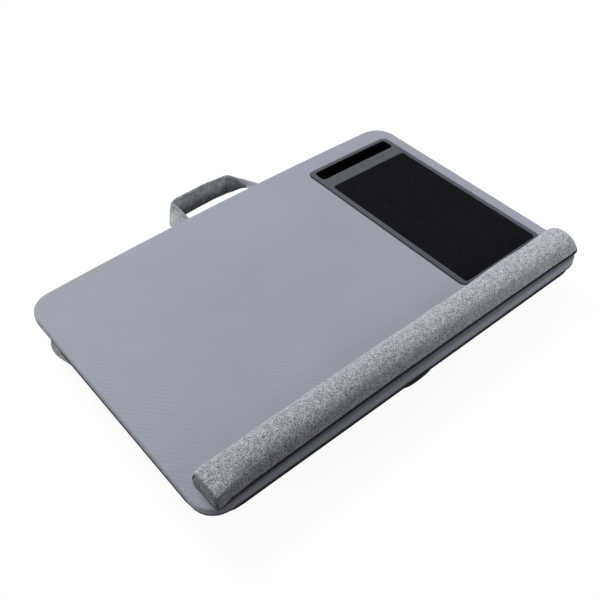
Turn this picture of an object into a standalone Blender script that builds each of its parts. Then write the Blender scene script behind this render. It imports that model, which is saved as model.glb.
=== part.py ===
"""Lap desk: a laminated board with a moulded phone and mouse tray, a padded wrist rest,
two bolster cushions below and a fabric carry handle behind.

Metres, +Z up. X runs along the front edge and Y towards the back. The desk stands level on its
cushions, and the origin is on the ground, in the middle of the whole width and depth.
"""
import math

import bmesh
import bpy
from mathutils import Vector

# Fits
SEAT_GAP = 0.0003           # between pieces that touch
EDGE_BREAK = 0.0005         # small rounding of sharp plate edges

# Board
BOARD_WIDTH = 0.5375
BOARD_DEPTH = 0.3502        # front edge to the crown of the bowed back edge
BOARD_THICKNESS = 0.0098
BACK_EDGE_RADIUS = 5.4
BOARD_FRONT_CORNER = 0.0262
BOARD_BACK_CORNER = 0.0290
BOARD_TOP_ROUND = 0.0022

# Backing panel under the board
PANEL_THICKNESS = 0.0045
PANEL_INSET = 0.0004
PANEL_FRONT_CORNER = 0.0370
PANEL_BACK_CORNER = 0.0800

# Moulded tray
TRAY_WIDTH = 0.1338
TRAY_SIDE_MARGIN = 0.0149   # tray to the board's right edge
TRAY_FRONT_MARGIN = 0.0510
TRAY_BACK_MARGIN = 0.0261
TRAY_CORNER = 0.0095
TRAY_REVEAL = 0.0009        # dark line round the lip
TRAY_LIP_ROUND = 0.0012
FLANGE_THICKNESS = 0.0022
FLANGE_LAP = 0.0024         # how far the flange lies on the board's step
SKIRT_CLEARANCE = 0.0004
TRAY_WALL = 0.0014
LEFT_SHOULDER = 0.0041      # each rail's width beyond the skirt's wall
RIGHT_SHOULDER = 0.0011
BACK_SHOULDER = 0.0003
FRONT_SHOULDER = 0.0005
BAR_WIDTH = 0.0180          # between the slot and the pad
RIM_ROUND = 0.0007
RIB_THICKNESS = 0.0012
RIB_COLUMNS = 3
RIB_ROWS = 5
BOSS_RADIUS = 0.0034

# Phone slot and mouse pad
SLOT_WIDTH = 0.0186
SLOT_DEPTH = 0.0098
SLOT_CORNER = 0.0045
LINER_THICKNESS = 0.0008
LINER_DROP = 0.0007         # liner's rim below the tray's top
PAD_CORNER = 0.0040
PAD_THICKNESS = 0.0016
PAD_RECESS = 0.0021

# Wrist rest
WRIST_LEFT_MARGIN = 0.0130
WRIST_RIGHT_MARGIN = 0.0045
WRIST_FRONT_MARGIN = 0.0045
WRIST_WIDTH = 0.0430
WRIST_HEIGHT = 0.0215
WRIST_LIFT = 0.0012         # thin shadow gap under its front
WRIST_END_ROUND = 0.0050
WRIST_TAPER = 0.06          # how much lower its ends are, as a part of its height
WRIST_TAPER_POWER = 4       # keeps that drop near the ends
WRIST_SQUARENESS = 0.95     # 1 gives a half ellipse, and less a boxier section
WRIST_SKEW = math.radians(0.3)
BACKING_THICKNESS = 0.0020
BACKING_INSET = 0.0045

# Bolster cushions and the vent strip between them
CUSHION_HEIGHT = 0.0380
CUSHION_SIDE_MARGIN = 0.0010    # at its widest, where the rear corner's rounding begins
CUSHION_FRONT_MARGIN = 0.0380
CUSHION_BACK_MARGIN = 0.0150
CUSHION_SPLAY = 0.0300      # how much narrower each cushion is at its front
CUSHION_CORNER = 0.0600
CUSHION_BULGE = 0.0150      # how far the sides curve in at top and bottom
CHANNEL_WIDTH = 0.0500
STRIP_CLEARANCE = 0.0040
STRIP_FRONT_MARGIN = 0.0035
STRIP_THICKNESS = 0.0035
STRIP_NOSE = 0.0075         # thickness of its rounded front end
STRIP_NOSE_LENGTH = 0.0300
NOSE_TIP_SHARE = 0.40       # of the nose's thickness, at its very front
NOSE_RISE_SHARE = 0.85      # and a third of the way up

# Carry handle
HANDLE_REACH = 0.0408       # outer face of the strap behind the board's crown
HANDLE_ROOT_SPAN = 0.1080   # between the two ends of the strap
HANDLE_GRIP_SPAN = 0.0900   # between the two far bends
HANDLE_BOW = 0.0030
STRAP_WIDTH = 0.0280
STRAP_THICKNESS = 0.0030
STRAP_END_THICKNESS = 0.0020
STRAP_END_LENGTH = 0.0320   # how far each end reaches under the board
STRAP_DROOP = 0.0026
STRAP_TWIST_START = 0.0045  # behind the board, clear of its edge
STRAP_TWIST_LENGTH = 0.0200
STRAP_ROOT_BEND = 0.0300
STRAP_FAR_BEND = 0.0150
NOTCH_CLEARANCE = 0.0010

# Screws
SCREW_RADIUS = 0.0015
SCREW_HEAD_RADIUS = 0.0032
SCREW_HEAD_HEIGHT = 0.0018
WAFER_HEAD_RADIUS = 0.0042
WAFER_HEAD_HEIGHT = 0.0010
HOLE_CLEARANCE = 0.0004
RECESS_LENGTH = 0.0032
RECESS_WIDTH = 0.0007
RECESS_DEPTH = 0.0008
BOARD_SCREW_BITE = 0.0065   # how far the blind screws go into the board
PANEL_SCREW_INSET = 0.0160
WRIST_SCREW_COUNT = 5
WRIST_SCREW_INSET = 0.0250
HANDLE_SCREW_SPACING = 0.0140

# Levels, worked out from the ground up
PANEL_BOTTOM = CUSHION_HEIGHT + SEAT_GAP
PANEL_TOP = PANEL_BOTTOM + PANEL_THICKNESS
BOARD_BOTTOM = PANEL_TOP + SEAT_GAP
BOARD_TOP = BOARD_BOTTOM + BOARD_THICKNESS
BACKING_BOTTOM = BOARD_TOP + SEAT_GAP
BACKING_TOP = BACKING_BOTTOM + BACKING_THICKNESS
WRIST_BOTTOM = BOARD_TOP + WRIST_LIFT

# Places in plan, with Y counted from the board's front edge
FRONT_Y = -(BOARD_DEPTH + HANDLE_REACH) / 2
BOW_CENTRE_Y = BOARD_DEPTH - BACK_EDGE_RADIUS
BOARD_RIGHT = BOARD_WIDTH / 2
TRAY_RIGHT = BOARD_RIGHT - TRAY_SIDE_MARGIN
TRAY_LEFT = TRAY_RIGHT - TRAY_WIDTH
SKIRT_INSET = FLANGE_LAP + SKIRT_CLEARANCE
SKIRT_INNER = SKIRT_INSET + TRAY_WALL
POCKET_LEFT = TRAY_LEFT + SKIRT_INNER + LEFT_SHOULDER
POCKET_RIGHT = TRAY_RIGHT - SKIRT_INNER - RIGHT_SHOULDER
SLOT_BACK = TRAY_BACK_MARGIN + SKIRT_INNER + BACK_SHOULDER
PAD_BACK = SLOT_BACK + SLOT_WIDTH + BAR_WIDTH
PAD_FRONT = TRAY_FRONT_MARGIN + SKIRT_INNER + FRONT_SHOULDER
TRAY_UNDERSIDE = BOARD_BOTTOM + SEAT_GAP
PAD_FLOOR = BOARD_TOP - PAD_RECESS
SLOT_FLOOR = BOARD_TOP - SLOT_DEPTH - LINER_THICKNESS - SEAT_GAP
SLOT_UNDERSIDE = SLOT_FLOOR - TRAY_WALL
STRAP_END_TOP = BOARD_BOTTOM - SEAT_GAP

# Facets
ARC_SEGMENTS = 8
BOW_SEGMENTS = 8
TURN_SEGMENTS = 12
SECTION_SEGMENTS = 14


def clear_scene():
    for item in list(bpy.data.objects):
        bpy.data.objects.remove(item, do_unlink=True)


def linear(level):
    level /= 255
    return level / 12.92 if level <= 0.04045 else ((level + 0.055) / 1.055) ** 2.4


def make_material(name, colour, roughness, metallic=0.0):
    material = bpy.data.materials.new(name)
    material.use_nodes = True
    shader = material.node_tree.nodes["Principled BSDF"]
    shader.inputs["Base Color"].default_value = (*[linear(level) for level in colour], 1)
    shader.inputs["Roughness"].default_value = roughness
    shader.inputs["Metallic"].default_value = metallic
    return material


def add_object(name, mesh, material=None):
    item = bpy.data.objects.new(name, mesh)
    item.location = (0, FRONT_Y, 0)
    bpy.context.scene.collection.objects.link(item)
    if material:
        mesh.materials.append(material)
    return item


def make_cutter(name, mesh):
    item = add_object(name, mesh)
    item.hide_render = True
    item.display_type = "WIRE"
    return item


def apply_boolean(target, cutter, operation):
    modifier = target.modifiers.new(cutter.name, "BOOLEAN")
    modifier.object = cutter
    modifier.operation = operation
    modifier.solver = "EXACT"


# Meshes

def add_loft(bm, loops):
    """Skin a row of closed loops and cap both ends."""
    rings = [[bm.verts.new(point) for point in loop] for loop in loops]
    count = len(rings[0])
    for lower, upper in zip(rings, rings[1:]):
        for i in range(count):
            j = (i + 1) % count
            bm.faces.new((lower[i], lower[j], upper[j], upper[i]))
    bm.faces.new(reversed(rings[0]))
    bm.faces.new(rings[-1])


def finish_mesh(name, bm, smooth_angle=None):
    bmesh.ops.recalc_face_normals(bm, faces=bm.faces)
    mesh = bpy.data.meshes.new(name)
    bm.to_mesh(mesh)
    bm.free()
    if smooth_angle is not None:
        mesh.shade_smooth()
        mesh.set_sharp_from_angle(angle=math.radians(smooth_angle))
    return mesh


def loft_mesh(name, loops, smooth_angle=None):
    bm = bmesh.new()
    add_loft(bm, loops)
    return finish_mesh(name, bm, smooth_angle)


def lofts_mesh(name, bodies, smooth_angle=None):
    """One mesh of several separate lofts, for cutters that work together."""
    bm = bmesh.new()
    for loops in bodies:
        add_loft(bm, loops)
    return finish_mesh(name, bm, smooth_angle)


def level_loops(outline, steps):
    """Loops of one outline at several heights, from (inset, z) pairs."""
    return [[(x, y, z) for x, y in outline(inset)] for inset, z in steps]


def prism_steps(bottom, top, bottom_round, top_round, segments=3):
    """(inset, z) pairs up a plate's side, with both of its edges rounded."""
    steps = []
    for i in range(segments + 1):
        turn = math.pi / 2 * i / segments
        steps.append((bottom_round * (1 - math.sin(turn)), bottom + bottom_round * (1 - math.cos(turn))))
    for i in range(segments + 1):
        turn = math.pi / 2 * i / segments
        steps.append((top_round * (1 - math.cos(turn)), top - top_round * (1 - math.sin(turn))))
    return steps


def turned_loops(x, y, profile):
    """Loops of a piece turned about a vertical axis, from (radius, z) pairs."""
    loops = []
    for radius, z in profile:
        turns = [2 * math.pi * i / TURN_SEGMENTS for i in range(TURN_SEGMENTS)]
        loops.append([(x + radius * math.cos(t), y + radius * math.sin(t), z) for t in turns])
    return loops


def box_loops(low, high):
    (x0, y0, z0), (x1, y1, z1) = low, high
    return [[(x0, y0, z), (x1, y0, z), (x1, y1, z), (x0, y1, z)] for z in (z0, z1)]


# Outlines

def arc(centre, radius, start, end, segments=ARC_SEGMENTS):
    turns = [start + (end - start) * i / segments for i in range(segments + 1)]
    return [(centre[0] + radius * math.cos(t), centre[1] + radius * math.sin(t)) for t in turns]


def bow_tilt(x, radius):
    return math.asin(x / radius)


def bow_point(tilt, radius):
    return radius * math.sin(tilt), BOW_CENTRE_Y + radius * math.cos(tilt)


def bow_run(start, end, radius):
    """Points between two corners of an edge that is parallel to the board's bowed back edge."""
    tilts = [start + (end - start) * i / BOW_SEGMENTS for i in range(1, BOW_SEGMENTS)]
    return [bow_point(tilt, radius) for tilt in tilts]


def bowed_outline(left, right, front, back, front_corner, back_corner, front_bow=None):
    """Counter-clockwise outline whose back edge runs parallel to the board's, a distance back inside it.

    The front is straight at Y = front, or also parallel to the bow where front_bow gives its distance.
    """
    back_radius = BACK_EDGE_RADIUS - back
    inner = back_radius - back_corner
    tilt_right = bow_tilt(right - back_corner, inner)
    tilt_left = bow_tilt(left + back_corner, inner)
    quarter = math.pi / 2
    points = arc(bow_point(tilt_right, inner), back_corner, 0, quarter - tilt_right)
    points += bow_run(tilt_right, tilt_left, back_radius)
    points += arc(bow_point(tilt_left, inner), back_corner, quarter - tilt_left, 2 * quarter)
    if front_bow is None:
        y = front + front_corner
        points += arc((left + front_corner, y), front_corner, 2 * quarter, 3 * quarter)
        points += arc((right - front_corner, y), front_corner, 3 * quarter, 4 * quarter)
        return points
    front_radius = BACK_EDGE_RADIUS - front_bow
    outer = front_radius + front_corner
    tilt_right = bow_tilt(right - front_corner, outer)
    tilt_left = bow_tilt(left + front_corner, outer)
    points += arc(bow_point(tilt_left, outer), front_corner, 2 * quarter, 3 * quarter - tilt_left)
    points += bow_run(tilt_left, tilt_right, front_radius)
    points += arc(bow_point(tilt_right, outer), front_corner, 3 * quarter - tilt_right, 4 * quarter)
    return points


def board_outline(inset):
    return bowed_outline(-BOARD_RIGHT + inset, BOARD_RIGHT - inset, inset, inset,
                         BOARD_FRONT_CORNER - inset, BOARD_BACK_CORNER - inset)


def panel_outline(inset):
    inset += PANEL_INSET
    return bowed_outline(-BOARD_RIGHT + inset, BOARD_RIGHT - inset, inset, inset,
                         PANEL_FRONT_CORNER - inset, PANEL_BACK_CORNER - inset)


def tray_outline(inset):
    corner = max(TRAY_CORNER - inset, 0.001)
    return bowed_outline(TRAY_LEFT + inset, TRAY_RIGHT - inset, TRAY_FRONT_MARGIN + inset,
                         TRAY_BACK_MARGIN + inset, corner, corner)


def slot_outline(inset):
    corner = SLOT_CORNER - inset
    return bowed_outline(POCKET_LEFT + inset, POCKET_RIGHT - inset, None, SLOT_BACK + inset,
                         corner, corner, front_bow=SLOT_BACK + SLOT_WIDTH - inset)


def pad_outline(inset):
    corner = PAD_CORNER - inset
    return bowed_outline(POCKET_LEFT + inset, POCKET_RIGHT - inset, PAD_FRONT + inset,
                         PAD_BACK + inset, corner, corner)


def polygon_inset(corners, inset):
    """Move every side of a convex counter-clockwise polygon inwards."""
    moved = []
    count = len(corners)
    for i, corner in enumerate(corners):
        here = Vector(corner)
        before = (here - Vector(corners[i - 1])).normalized()
        after = (Vector(corners[(i + 1) % count]) - here).normalized()
        turn = before.x * after.y - before.y * after.x
        moved.append(here + (after - before) * (inset / turn))
    return moved


def rounded_polygon(corners, radius):
    points = []
    count = len(corners)
    for i, corner in enumerate(corners):
        before = (corner - corners[i - 1]).normalized()
        after = (corners[(i + 1) % count] - corner).normalized()
        turn = before.x * after.y - before.y * after.x
        centre = corner + (after - before) * (radius / turn)
        start = math.atan2(-before.x, before.y)
        sweep = math.atan2(turn, before.dot(after))
        points += arc(centre, radius, start, start + sweep)
    return points


# Screws and their holes

def countersunk_profile(bottom, top):
    """Turned profile of a countersunk screw whose head is at the bottom."""
    return [(SCREW_HEAD_RADIUS - EDGE_BREAK / 2, bottom), (SCREW_HEAD_RADIUS, bottom + EDGE_BREAK / 2),
            (SCREW_RADIUS, bottom + SCREW_HEAD_HEIGHT), (SCREW_RADIUS, top - SCREW_RADIUS),
            (SCREW_RADIUS / 4, top)]


def wafer_profile(bottom, top):
    """Turned profile of a flat wide-headed screw whose head is at the bottom."""
    return [(WAFER_HEAD_RADIUS - EDGE_BREAK, bottom), (WAFER_HEAD_RADIUS, bottom + EDGE_BREAK),
            (WAFER_HEAD_RADIUS, bottom + WAFER_HEAD_HEIGHT), (SCREW_RADIUS, bottom + WAFER_HEAD_HEIGHT),
            (SCREW_RADIUS, top - SCREW_RADIUS), (SCREW_RADIUS / 4, top)]


def recess_loops(x, y, bottom):
    """A driver's cross recess, as one twelve-sided prism."""
    long, short = RECESS_LENGTH / 2, RECESS_WIDTH / 2
    quarter = [(long, -short), (long, short), (short, short)]
    loop = []
    for turn in range(4):
        for px, py in quarter:
            for _ in range(turn):
                px, py = -py, px
            loop.append((x + px, y + py))
    return [[(px, py, z) for px, py in loop] for z in (bottom - RECESS_DEPTH, bottom + RECESS_DEPTH)]


def make_screw(name, x, y, profile, material):
    screw = add_object(name, loft_mesh(name, turned_loops(x, y, profile), 30), material)
    recess = make_cutter("recess_cutter_" + name, loft_mesh("recess", recess_loops(x, y, profile[0][1])))
    apply_boolean(screw, recess, "DIFFERENCE")


def countersink_loops(x, y, bottom, top):
    """Cutter for a countersunk clearance hole that opens at the bottom and at the top."""
    wide = SCREW_HEAD_RADIUS + HOLE_CLEARANCE
    narrow = SCREW_RADIUS + HOLE_CLEARANCE
    return turned_loops(x, y, [(wide, bottom - EDGE_BREAK), (wide, bottom + EDGE_BREAK),
                               (narrow, bottom + SCREW_HEAD_HEIGHT + EDGE_BREAK),
                               (narrow, top + EDGE_BREAK)])


def bore_loops(x, y, bottom, top):
    radius = SCREW_RADIUS + HOLE_CLEARANCE
    return turned_loops(x, y, [(radius, bottom), (radius, top)])


# Where the screws go

def panel_screw_places():
    edge = (BOARD_RIGHT + TRAY_RIGHT) / 2
    back_x = (TRAY_LEFT + TRAY_RIGHT) / 2
    back = BOARD_DEPTH - PANEL_SCREW_INSET
    middle = BOARD_DEPTH / 2
    return [(-edge, middle), (0, middle), (edge, middle), (-back_x, back), (0, back), (back_x, back)]


def tray_screw_places():
    inset = SKIRT_INNER + BOSS_RADIUS + HOLE_CLEARANCE
    front = TRAY_FRONT_MARGIN + inset
    back = cell_back() - BOSS_RADIUS - HOLE_CLEARANCE
    return [(x, y) for x in (TRAY_LEFT + inset, TRAY_RIGHT - inset) for y in (front, back)]


def wrist_point(along, across):
    """A place on the wrist rest, turned a little about the middle of its front edge."""
    cos, sin = math.cos(WRIST_SKEW), math.sin(WRIST_SKEW)
    middle = (WRIST_LEFT_MARGIN - WRIST_RIGHT_MARGIN) / 2
    return middle + along * cos - across * sin, WRIST_FRONT_MARGIN + along * sin + across * cos


def wrist_half_length():
    return (BOARD_WIDTH - WRIST_LEFT_MARGIN - WRIST_RIGHT_MARGIN) / 2


def wrist_screw_places():
    reach = wrist_half_length() - WRIST_SCREW_INSET
    steps = [2 * i / (WRIST_SCREW_COUNT - 1) - 1 for i in range(WRIST_SCREW_COUNT)]
    return [wrist_point(step * reach, WRIST_WIDTH / 2) for step in steps]


def handle_screw_places():
    root = HANDLE_ROOT_SPAN / 2
    middle = BOARD_DEPTH - STRAP_END_LENGTH / 2
    half = HANDLE_SCREW_SPACING / 2
    return [(x, middle + side * half) for x in (-root, root) for side in (-1, 1)]


# Board and backing panel

def blind_bores(places, top):
    return [bore_loops(x, y, PANEL_BOTTOM, top) for x, y in places]


def tray_opening_mesh():
    """Cutter for the through opening and the step that carries the tray's flange."""
    step = BOARD_TOP - FLANGE_THICKNESS - SEAT_GAP
    steps = [(FLANGE_LAP, PANEL_BOTTOM), (FLANGE_LAP, step), (-TRAY_REVEAL, step),
             (-TRAY_REVEAL, BOARD_TOP + FLANGE_THICKNESS)]
    return loft_mesh("tray_opening", level_loops(tray_outline, steps))


def make_top_board(material):
    steps = prism_steps(BOARD_BOTTOM, BOARD_TOP, EDGE_BREAK, BOARD_TOP_ROUND)
    board = add_object("top_board", loft_mesh("top_board", level_loops(board_outline, steps), 40), material)
    apply_boolean(board, make_cutter("tray_opening_cutter", tray_opening_mesh()), "DIFFERENCE")
    bores = blind_bores(panel_screw_places() + handle_screw_places(),
                        BOARD_BOTTOM + BOARD_SCREW_BITE + HOLE_CLEARANCE)
    bores += blind_bores(wrist_screw_places(), BOARD_TOP + EDGE_BREAK)
    apply_boolean(board, make_cutter("board_bore_cutter", lofts_mesh("board_bores", bores)), "DIFFERENCE")


def notch_loops(x):
    """Cutter for the notch that holds one flat end of the strap."""
    half = STRAP_WIDTH / 2 + NOTCH_CLEARANCE
    front = BOARD_DEPTH - STRAP_END_LENGTH - NOTCH_CLEARANCE
    return box_loops((x - half, front, PANEL_BOTTOM - EDGE_BREAK),
                     (x + half, BOARD_DEPTH + NOTCH_CLEARANCE, PANEL_TOP + EDGE_BREAK))


def make_base_panel(material):
    steps = prism_steps(PANEL_BOTTOM, PANEL_TOP, EDGE_BREAK, EDGE_BREAK, 1)
    panel = add_object("base_panel", loft_mesh("base_panel", level_loops(panel_outline, steps), 40), material)
    root = HANDLE_ROOT_SPAN / 2
    openings = [notch_loops(-root), notch_loops(root)]
    pocket = -TRAY_WALL - HOLE_CLEARANCE
    openings.append(level_loops(slot_outline, [(pocket, PANEL_BOTTOM - EDGE_BREAK),
                                               (pocket, PANEL_TOP + EDGE_BREAK)]))
    apply_boolean(panel, make_cutter("panel_opening_cutter", lofts_mesh("panel_openings", openings)),
                  "DIFFERENCE")
    places = panel_screw_places() + wrist_screw_places() + tray_screw_places()
    holes = [countersink_loops(x, y, PANEL_BOTTOM, PANEL_TOP) for x, y in places]
    apply_boolean(panel, make_cutter("panel_hole_cutter", lofts_mesh("panel_holes", holes)), "DIFFERENCE")


# Tray, liner and pad

def cell_back():
    """The straight line, just in front of the slot's pocket, where the ribbed underside ends."""
    radius = BACK_EDGE_RADIUS - SLOT_BACK - SLOT_WIDTH - TRAY_WALL
    return bow_point(bow_tilt(POCKET_RIGHT, radius), radius)[1] - TRAY_WALL


def tray_blank_mesh():
    flange_bottom = BOARD_TOP - FLANGE_THICKNESS
    steps = [(SKIRT_INSET, TRAY_UNDERSIDE), (SKIRT_INSET, flange_bottom), (0, flange_bottom)]
    steps += [(TRAY_LIP_ROUND * (1 - math.cos(turn)), BOARD_TOP - TRAY_LIP_ROUND * (1 - math.sin(turn)))
              for turn in [math.pi / 2 * i / 4 for i in range(5)]]
    return loft_mesh("tray_insert", level_loops(tray_outline, steps), 40)


def pocket_steps(floor):
    """Cutter steps for a recess whose rim is rounded over."""
    rim = [(RIM_ROUND * (math.cos(turn) - 1), BOARD_TOP - RIM_ROUND * (1 - math.sin(turn)))
           for turn in [math.pi / 2 * i / 3 for i in range(4)]]
    return [(0, floor)] + rim + [(-RIM_ROUND, BOARD_TOP + RIM_ROUND)]


def rib_cells():
    """Hollow cells between the crossing ribs under the pad's floor."""
    left, right = TRAY_LEFT + SKIRT_INNER, TRAY_RIGHT - SKIRT_INNER
    front, back = TRAY_FRONT_MARGIN + SKIRT_INNER, cell_back()
    pitch_x = (right - left + RIB_THICKNESS) / RIB_COLUMNS
    pitch_y = (back - front + RIB_THICKNESS) / RIB_ROWS
    cells = []
    for column in range(RIB_COLUMNS):
        for row in range(RIB_ROWS):
            x, y = left + column * pitch_x, front + row * pitch_y
            cells.append(box_loops((x, y, TRAY_UNDERSIDE - TRAY_WALL),
                                   (x + pitch_x - RIB_THICKNESS, y + pitch_y - RIB_THICKNESS,
                                    PAD_FLOOR - TRAY_WALL)))
    return cells


def boss_loops(x, y):
    return turned_loops(x, y, [(BOSS_RADIUS, TRAY_UNDERSIDE), (BOSS_RADIUS, PAD_FLOOR - TRAY_WALL / 2)])


def make_tray_insert(material):
    tray = add_object("tray_insert", tray_blank_mesh(), material)
    apply_boolean(tray, make_cutter("rib_cell_cutter", lofts_mesh("rib_cells", rib_cells())), "DIFFERENCE")
    pocket = level_loops(slot_outline, [(-TRAY_WALL, SLOT_UNDERSIDE), (-TRAY_WALL, PAD_FLOOR)])
    bosses = [boss_loops(x, y) for x, y in tray_screw_places()]
    apply_boolean(tray, make_cutter("pocket_block", loft_mesh("pocket_block", pocket)), "UNION")
    apply_boolean(tray, make_cutter("boss_blocks", lofts_mesh("boss_blocks", bosses)), "UNION")
    bores = [bore_loops(x, y, PANEL_BOTTOM, PAD_FLOOR - TRAY_WALL) for x, y in tray_screw_places()]
    recesses = [level_loops(slot_outline, pocket_steps(SLOT_FLOOR)),
                level_loops(pad_outline, pocket_steps(PAD_FLOOR))]
    apply_boolean(tray, make_cutter("tray_recess_cutter", lofts_mesh("tray_recesses", recesses + bores)),
                  "DIFFERENCE")


def make_slot_liner(material):
    floor = SLOT_FLOOR + SEAT_GAP
    rim = BOARD_TOP - LINER_DROP
    inner = SEAT_GAP + LINER_THICKNESS
    steps = [(SEAT_GAP, floor), (SEAT_GAP, rim), (inner, rim), (inner, floor + LINER_THICKNESS)]
    add_object("slot_liner", loft_mesh("slot_liner", level_loops(slot_outline, steps), 40), material)


def make_mouse_pad(material):
    bottom = PAD_FLOOR + SEAT_GAP
    steps = prism_steps(bottom, bottom + PAD_THICKNESS, EDGE_BREAK / 2, EDGE_BREAK, 2)
    steps = [(inset + SEAT_GAP, z) for inset, z in steps]
    add_object("mouse_pad", loft_mesh("mouse_pad", level_loops(pad_outline, steps), 40), material)


# Wrist rest

def wrist_section(inset, height):
    """Half-round section, as (across, up) pairs from the front bottom over the top to the back bottom."""
    middle = WRIST_WIDTH / 2
    reach = middle - inset
    points = []
    for i in range(SECTION_SEGMENTS + 1):
        turn = math.pi * i / SECTION_SEGMENTS
        across = -math.copysign(abs(math.cos(turn)) ** WRIST_SQUARENESS, math.cos(turn))
        up = abs(math.sin(turn)) ** WRIST_SQUARENESS
        points.append((middle + reach * across, inset + (height - 2 * inset) * up))
    return points


def make_wrist_rest(material):
    half = wrist_half_length()
    stations = []
    for i in range(4):
        turn = math.pi / 2 * i / 3
        stations.append((WRIST_END_ROUND * (1 - math.cos(turn)), WRIST_END_ROUND * (1 - math.sin(turn))))
    rows = [(-half + along, inset) for along, inset in stations]
    rows += [(half * step / 4, 0) for step in range(-3, 4)]
    rows += [(half - along, inset) for along, inset in reversed(stations)]
    loops = []
    for along, inset in rows:
        crown = WRIST_HEIGHT * (1 - WRIST_TAPER * abs(along / half) ** WRIST_TAPER_POWER)
        loops.append([(*wrist_point(along, across), WRIST_BOTTOM + up)
                      for across, up in wrist_section(inset, crown)])
    roll = add_object("wrist_rest", loft_mesh("wrist_rest", loops, 50), material)
    seat = level_loops(backing_outline, [(-SEAT_GAP, BOARD_TOP), (-SEAT_GAP, BACKING_TOP + SEAT_GAP)])
    apply_boolean(roll, make_cutter("backing_seat_cutter", loft_mesh("backing_seat", seat)), "DIFFERENCE")


def backing_outline(inset):
    half = wrist_half_length() - BACKING_INSET
    front, back = BACKING_INSET, WRIST_WIDTH - BACKING_INSET
    corners = [wrist_point(*place) for place in ((-half, front), (half, front), (half, back), (-half, back))]
    return rounded_polygon(polygon_inset(corners, inset), BACKING_INSET - inset)


def make_wrist_backing(material):
    steps = prism_steps(BACKING_BOTTOM, BACKING_TOP, EDGE_BREAK / 2, EDGE_BREAK / 2, 1)
    strip = add_object("wrist_rest_backing", loft_mesh("wrist_rest_backing",
                                                       level_loops(backing_outline, steps), 40), material)
    bores = [bore_loops(x, y, BOARD_TOP - EDGE_BREAK, BACKING_TOP + EDGE_BREAK)
             for x, y in wrist_screw_places()]
    apply_boolean(strip, make_cutter("backing_bore_cutter", lofts_mesh("backing_bores", bores)), "DIFFERENCE")


# Cushions and vent strip

def make_cushion(name, side, material):
    """Bolster on one side, side being -1 for left and 1 for right, rounded like a stuffed cover."""
    front, back = CUSHION_FRONT_MARGIN, BOARD_DEPTH - CUSHION_BACK_MARGIN
    shoulder = back - CUSHION_CORNER
    slant = CUSHION_SPLAY / (shoulder - front)
    widest = BOARD_RIGHT - CUSHION_SIDE_MARGIN
    inner = side * CHANNEL_WIDTH / 2
    outer_back = side * (widest + slant * (back - shoulder))
    outer_front = side * (widest - CUSHION_SPLAY)
    corners = [(inner, front), (outer_front, front), (outer_back, back), (inner, back)]
    if side < 0:
        corners.reverse()

    def outline(inset):
        return rounded_polygon(polygon_inset(corners, inset), CUSHION_CORNER - inset)

    steps = []
    for i in range(9):
        turn = math.pi * i / 8 - math.pi / 2
        steps.append((CUSHION_BULGE * (1 - math.cos(turn)), CUSHION_HEIGHT / 2 * (1 + math.sin(turn))))
    add_object(name, loft_mesh(name, level_loops(outline, steps), 60), material)


def make_centre_strip(material):
    top = PANEL_BOTTOM - SEAT_GAP
    half = CHANNEL_WIDTH / 2 - STRIP_CLEARANCE
    back = BOARD_DEPTH - CUSHION_BACK_MARGIN
    nose_end = STRIP_FRONT_MARGIN + STRIP_NOSE_LENGTH
    stations = [(STRIP_FRONT_MARGIN, STRIP_NOSE * NOSE_TIP_SHARE),
                (STRIP_FRONT_MARGIN + STRIP_NOSE / 3, STRIP_NOSE * NOSE_RISE_SHARE),
                (STRIP_FRONT_MARGIN + STRIP_NOSE, STRIP_NOSE), (nose_end, STRIP_THICKNESS),
                (back - STRIP_THICKNESS, STRIP_THICKNESS), (back, STRIP_THICKNESS / 2)]
    loops = []
    for y, thickness in stations:
        loop = [(half, y, top), (-half, y, top)]
        for i in range(1, 10):
            turn = math.pi * i / 10
            loop.append((-half * math.cos(turn), y, top - thickness * math.sqrt(math.sin(turn))))
        loops.append(loop)
    add_object("centre_strip", loft_mesh("centre_strip", loops, 50), material)


# Carry handle

def filleted_path(points, radii, segments=6):
    """Open path through the points, with each inner bend rounded by its radius where that isn't 0."""
    path = [Vector(points[0])]
    for i in range(1, len(points) - 1):
        corner = Vector(points[i])
        before = (corner - Vector(points[i - 1])).normalized()
        after = (Vector(points[i + 1]) - corner).normalized()
        if radii[i] == 0:
            path.append(corner)
            continue
        turn = math.atan2(before.x * after.y - before.y * after.x, before.dot(after))
        side = math.copysign(1, turn)
        normal = Vector((-before.y, before.x)) * side
        start = corner - before * (radii[i] * math.tan(abs(turn) / 2))
        centre = start + normal * radii[i]
        for step in range(segments + 1):
            angle = turn * step / segments
            spoke = -normal
            path.append(centre + radii[i] * Vector((spoke.x * math.cos(angle) - spoke.y * math.sin(angle),
                                                    spoke.x * math.sin(angle) + spoke.y * math.cos(angle))))
    path.append(Vector(points[-1]))
    return path


def subdivided(path, step):
    fine = [path[0]]
    for start, end in zip(path, path[1:]):
        pieces = max(1, round((end - start).length / step))
        fine += [start.lerp(end, i / pieces) for i in range(1, pieces + 1)]
    return fine


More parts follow.
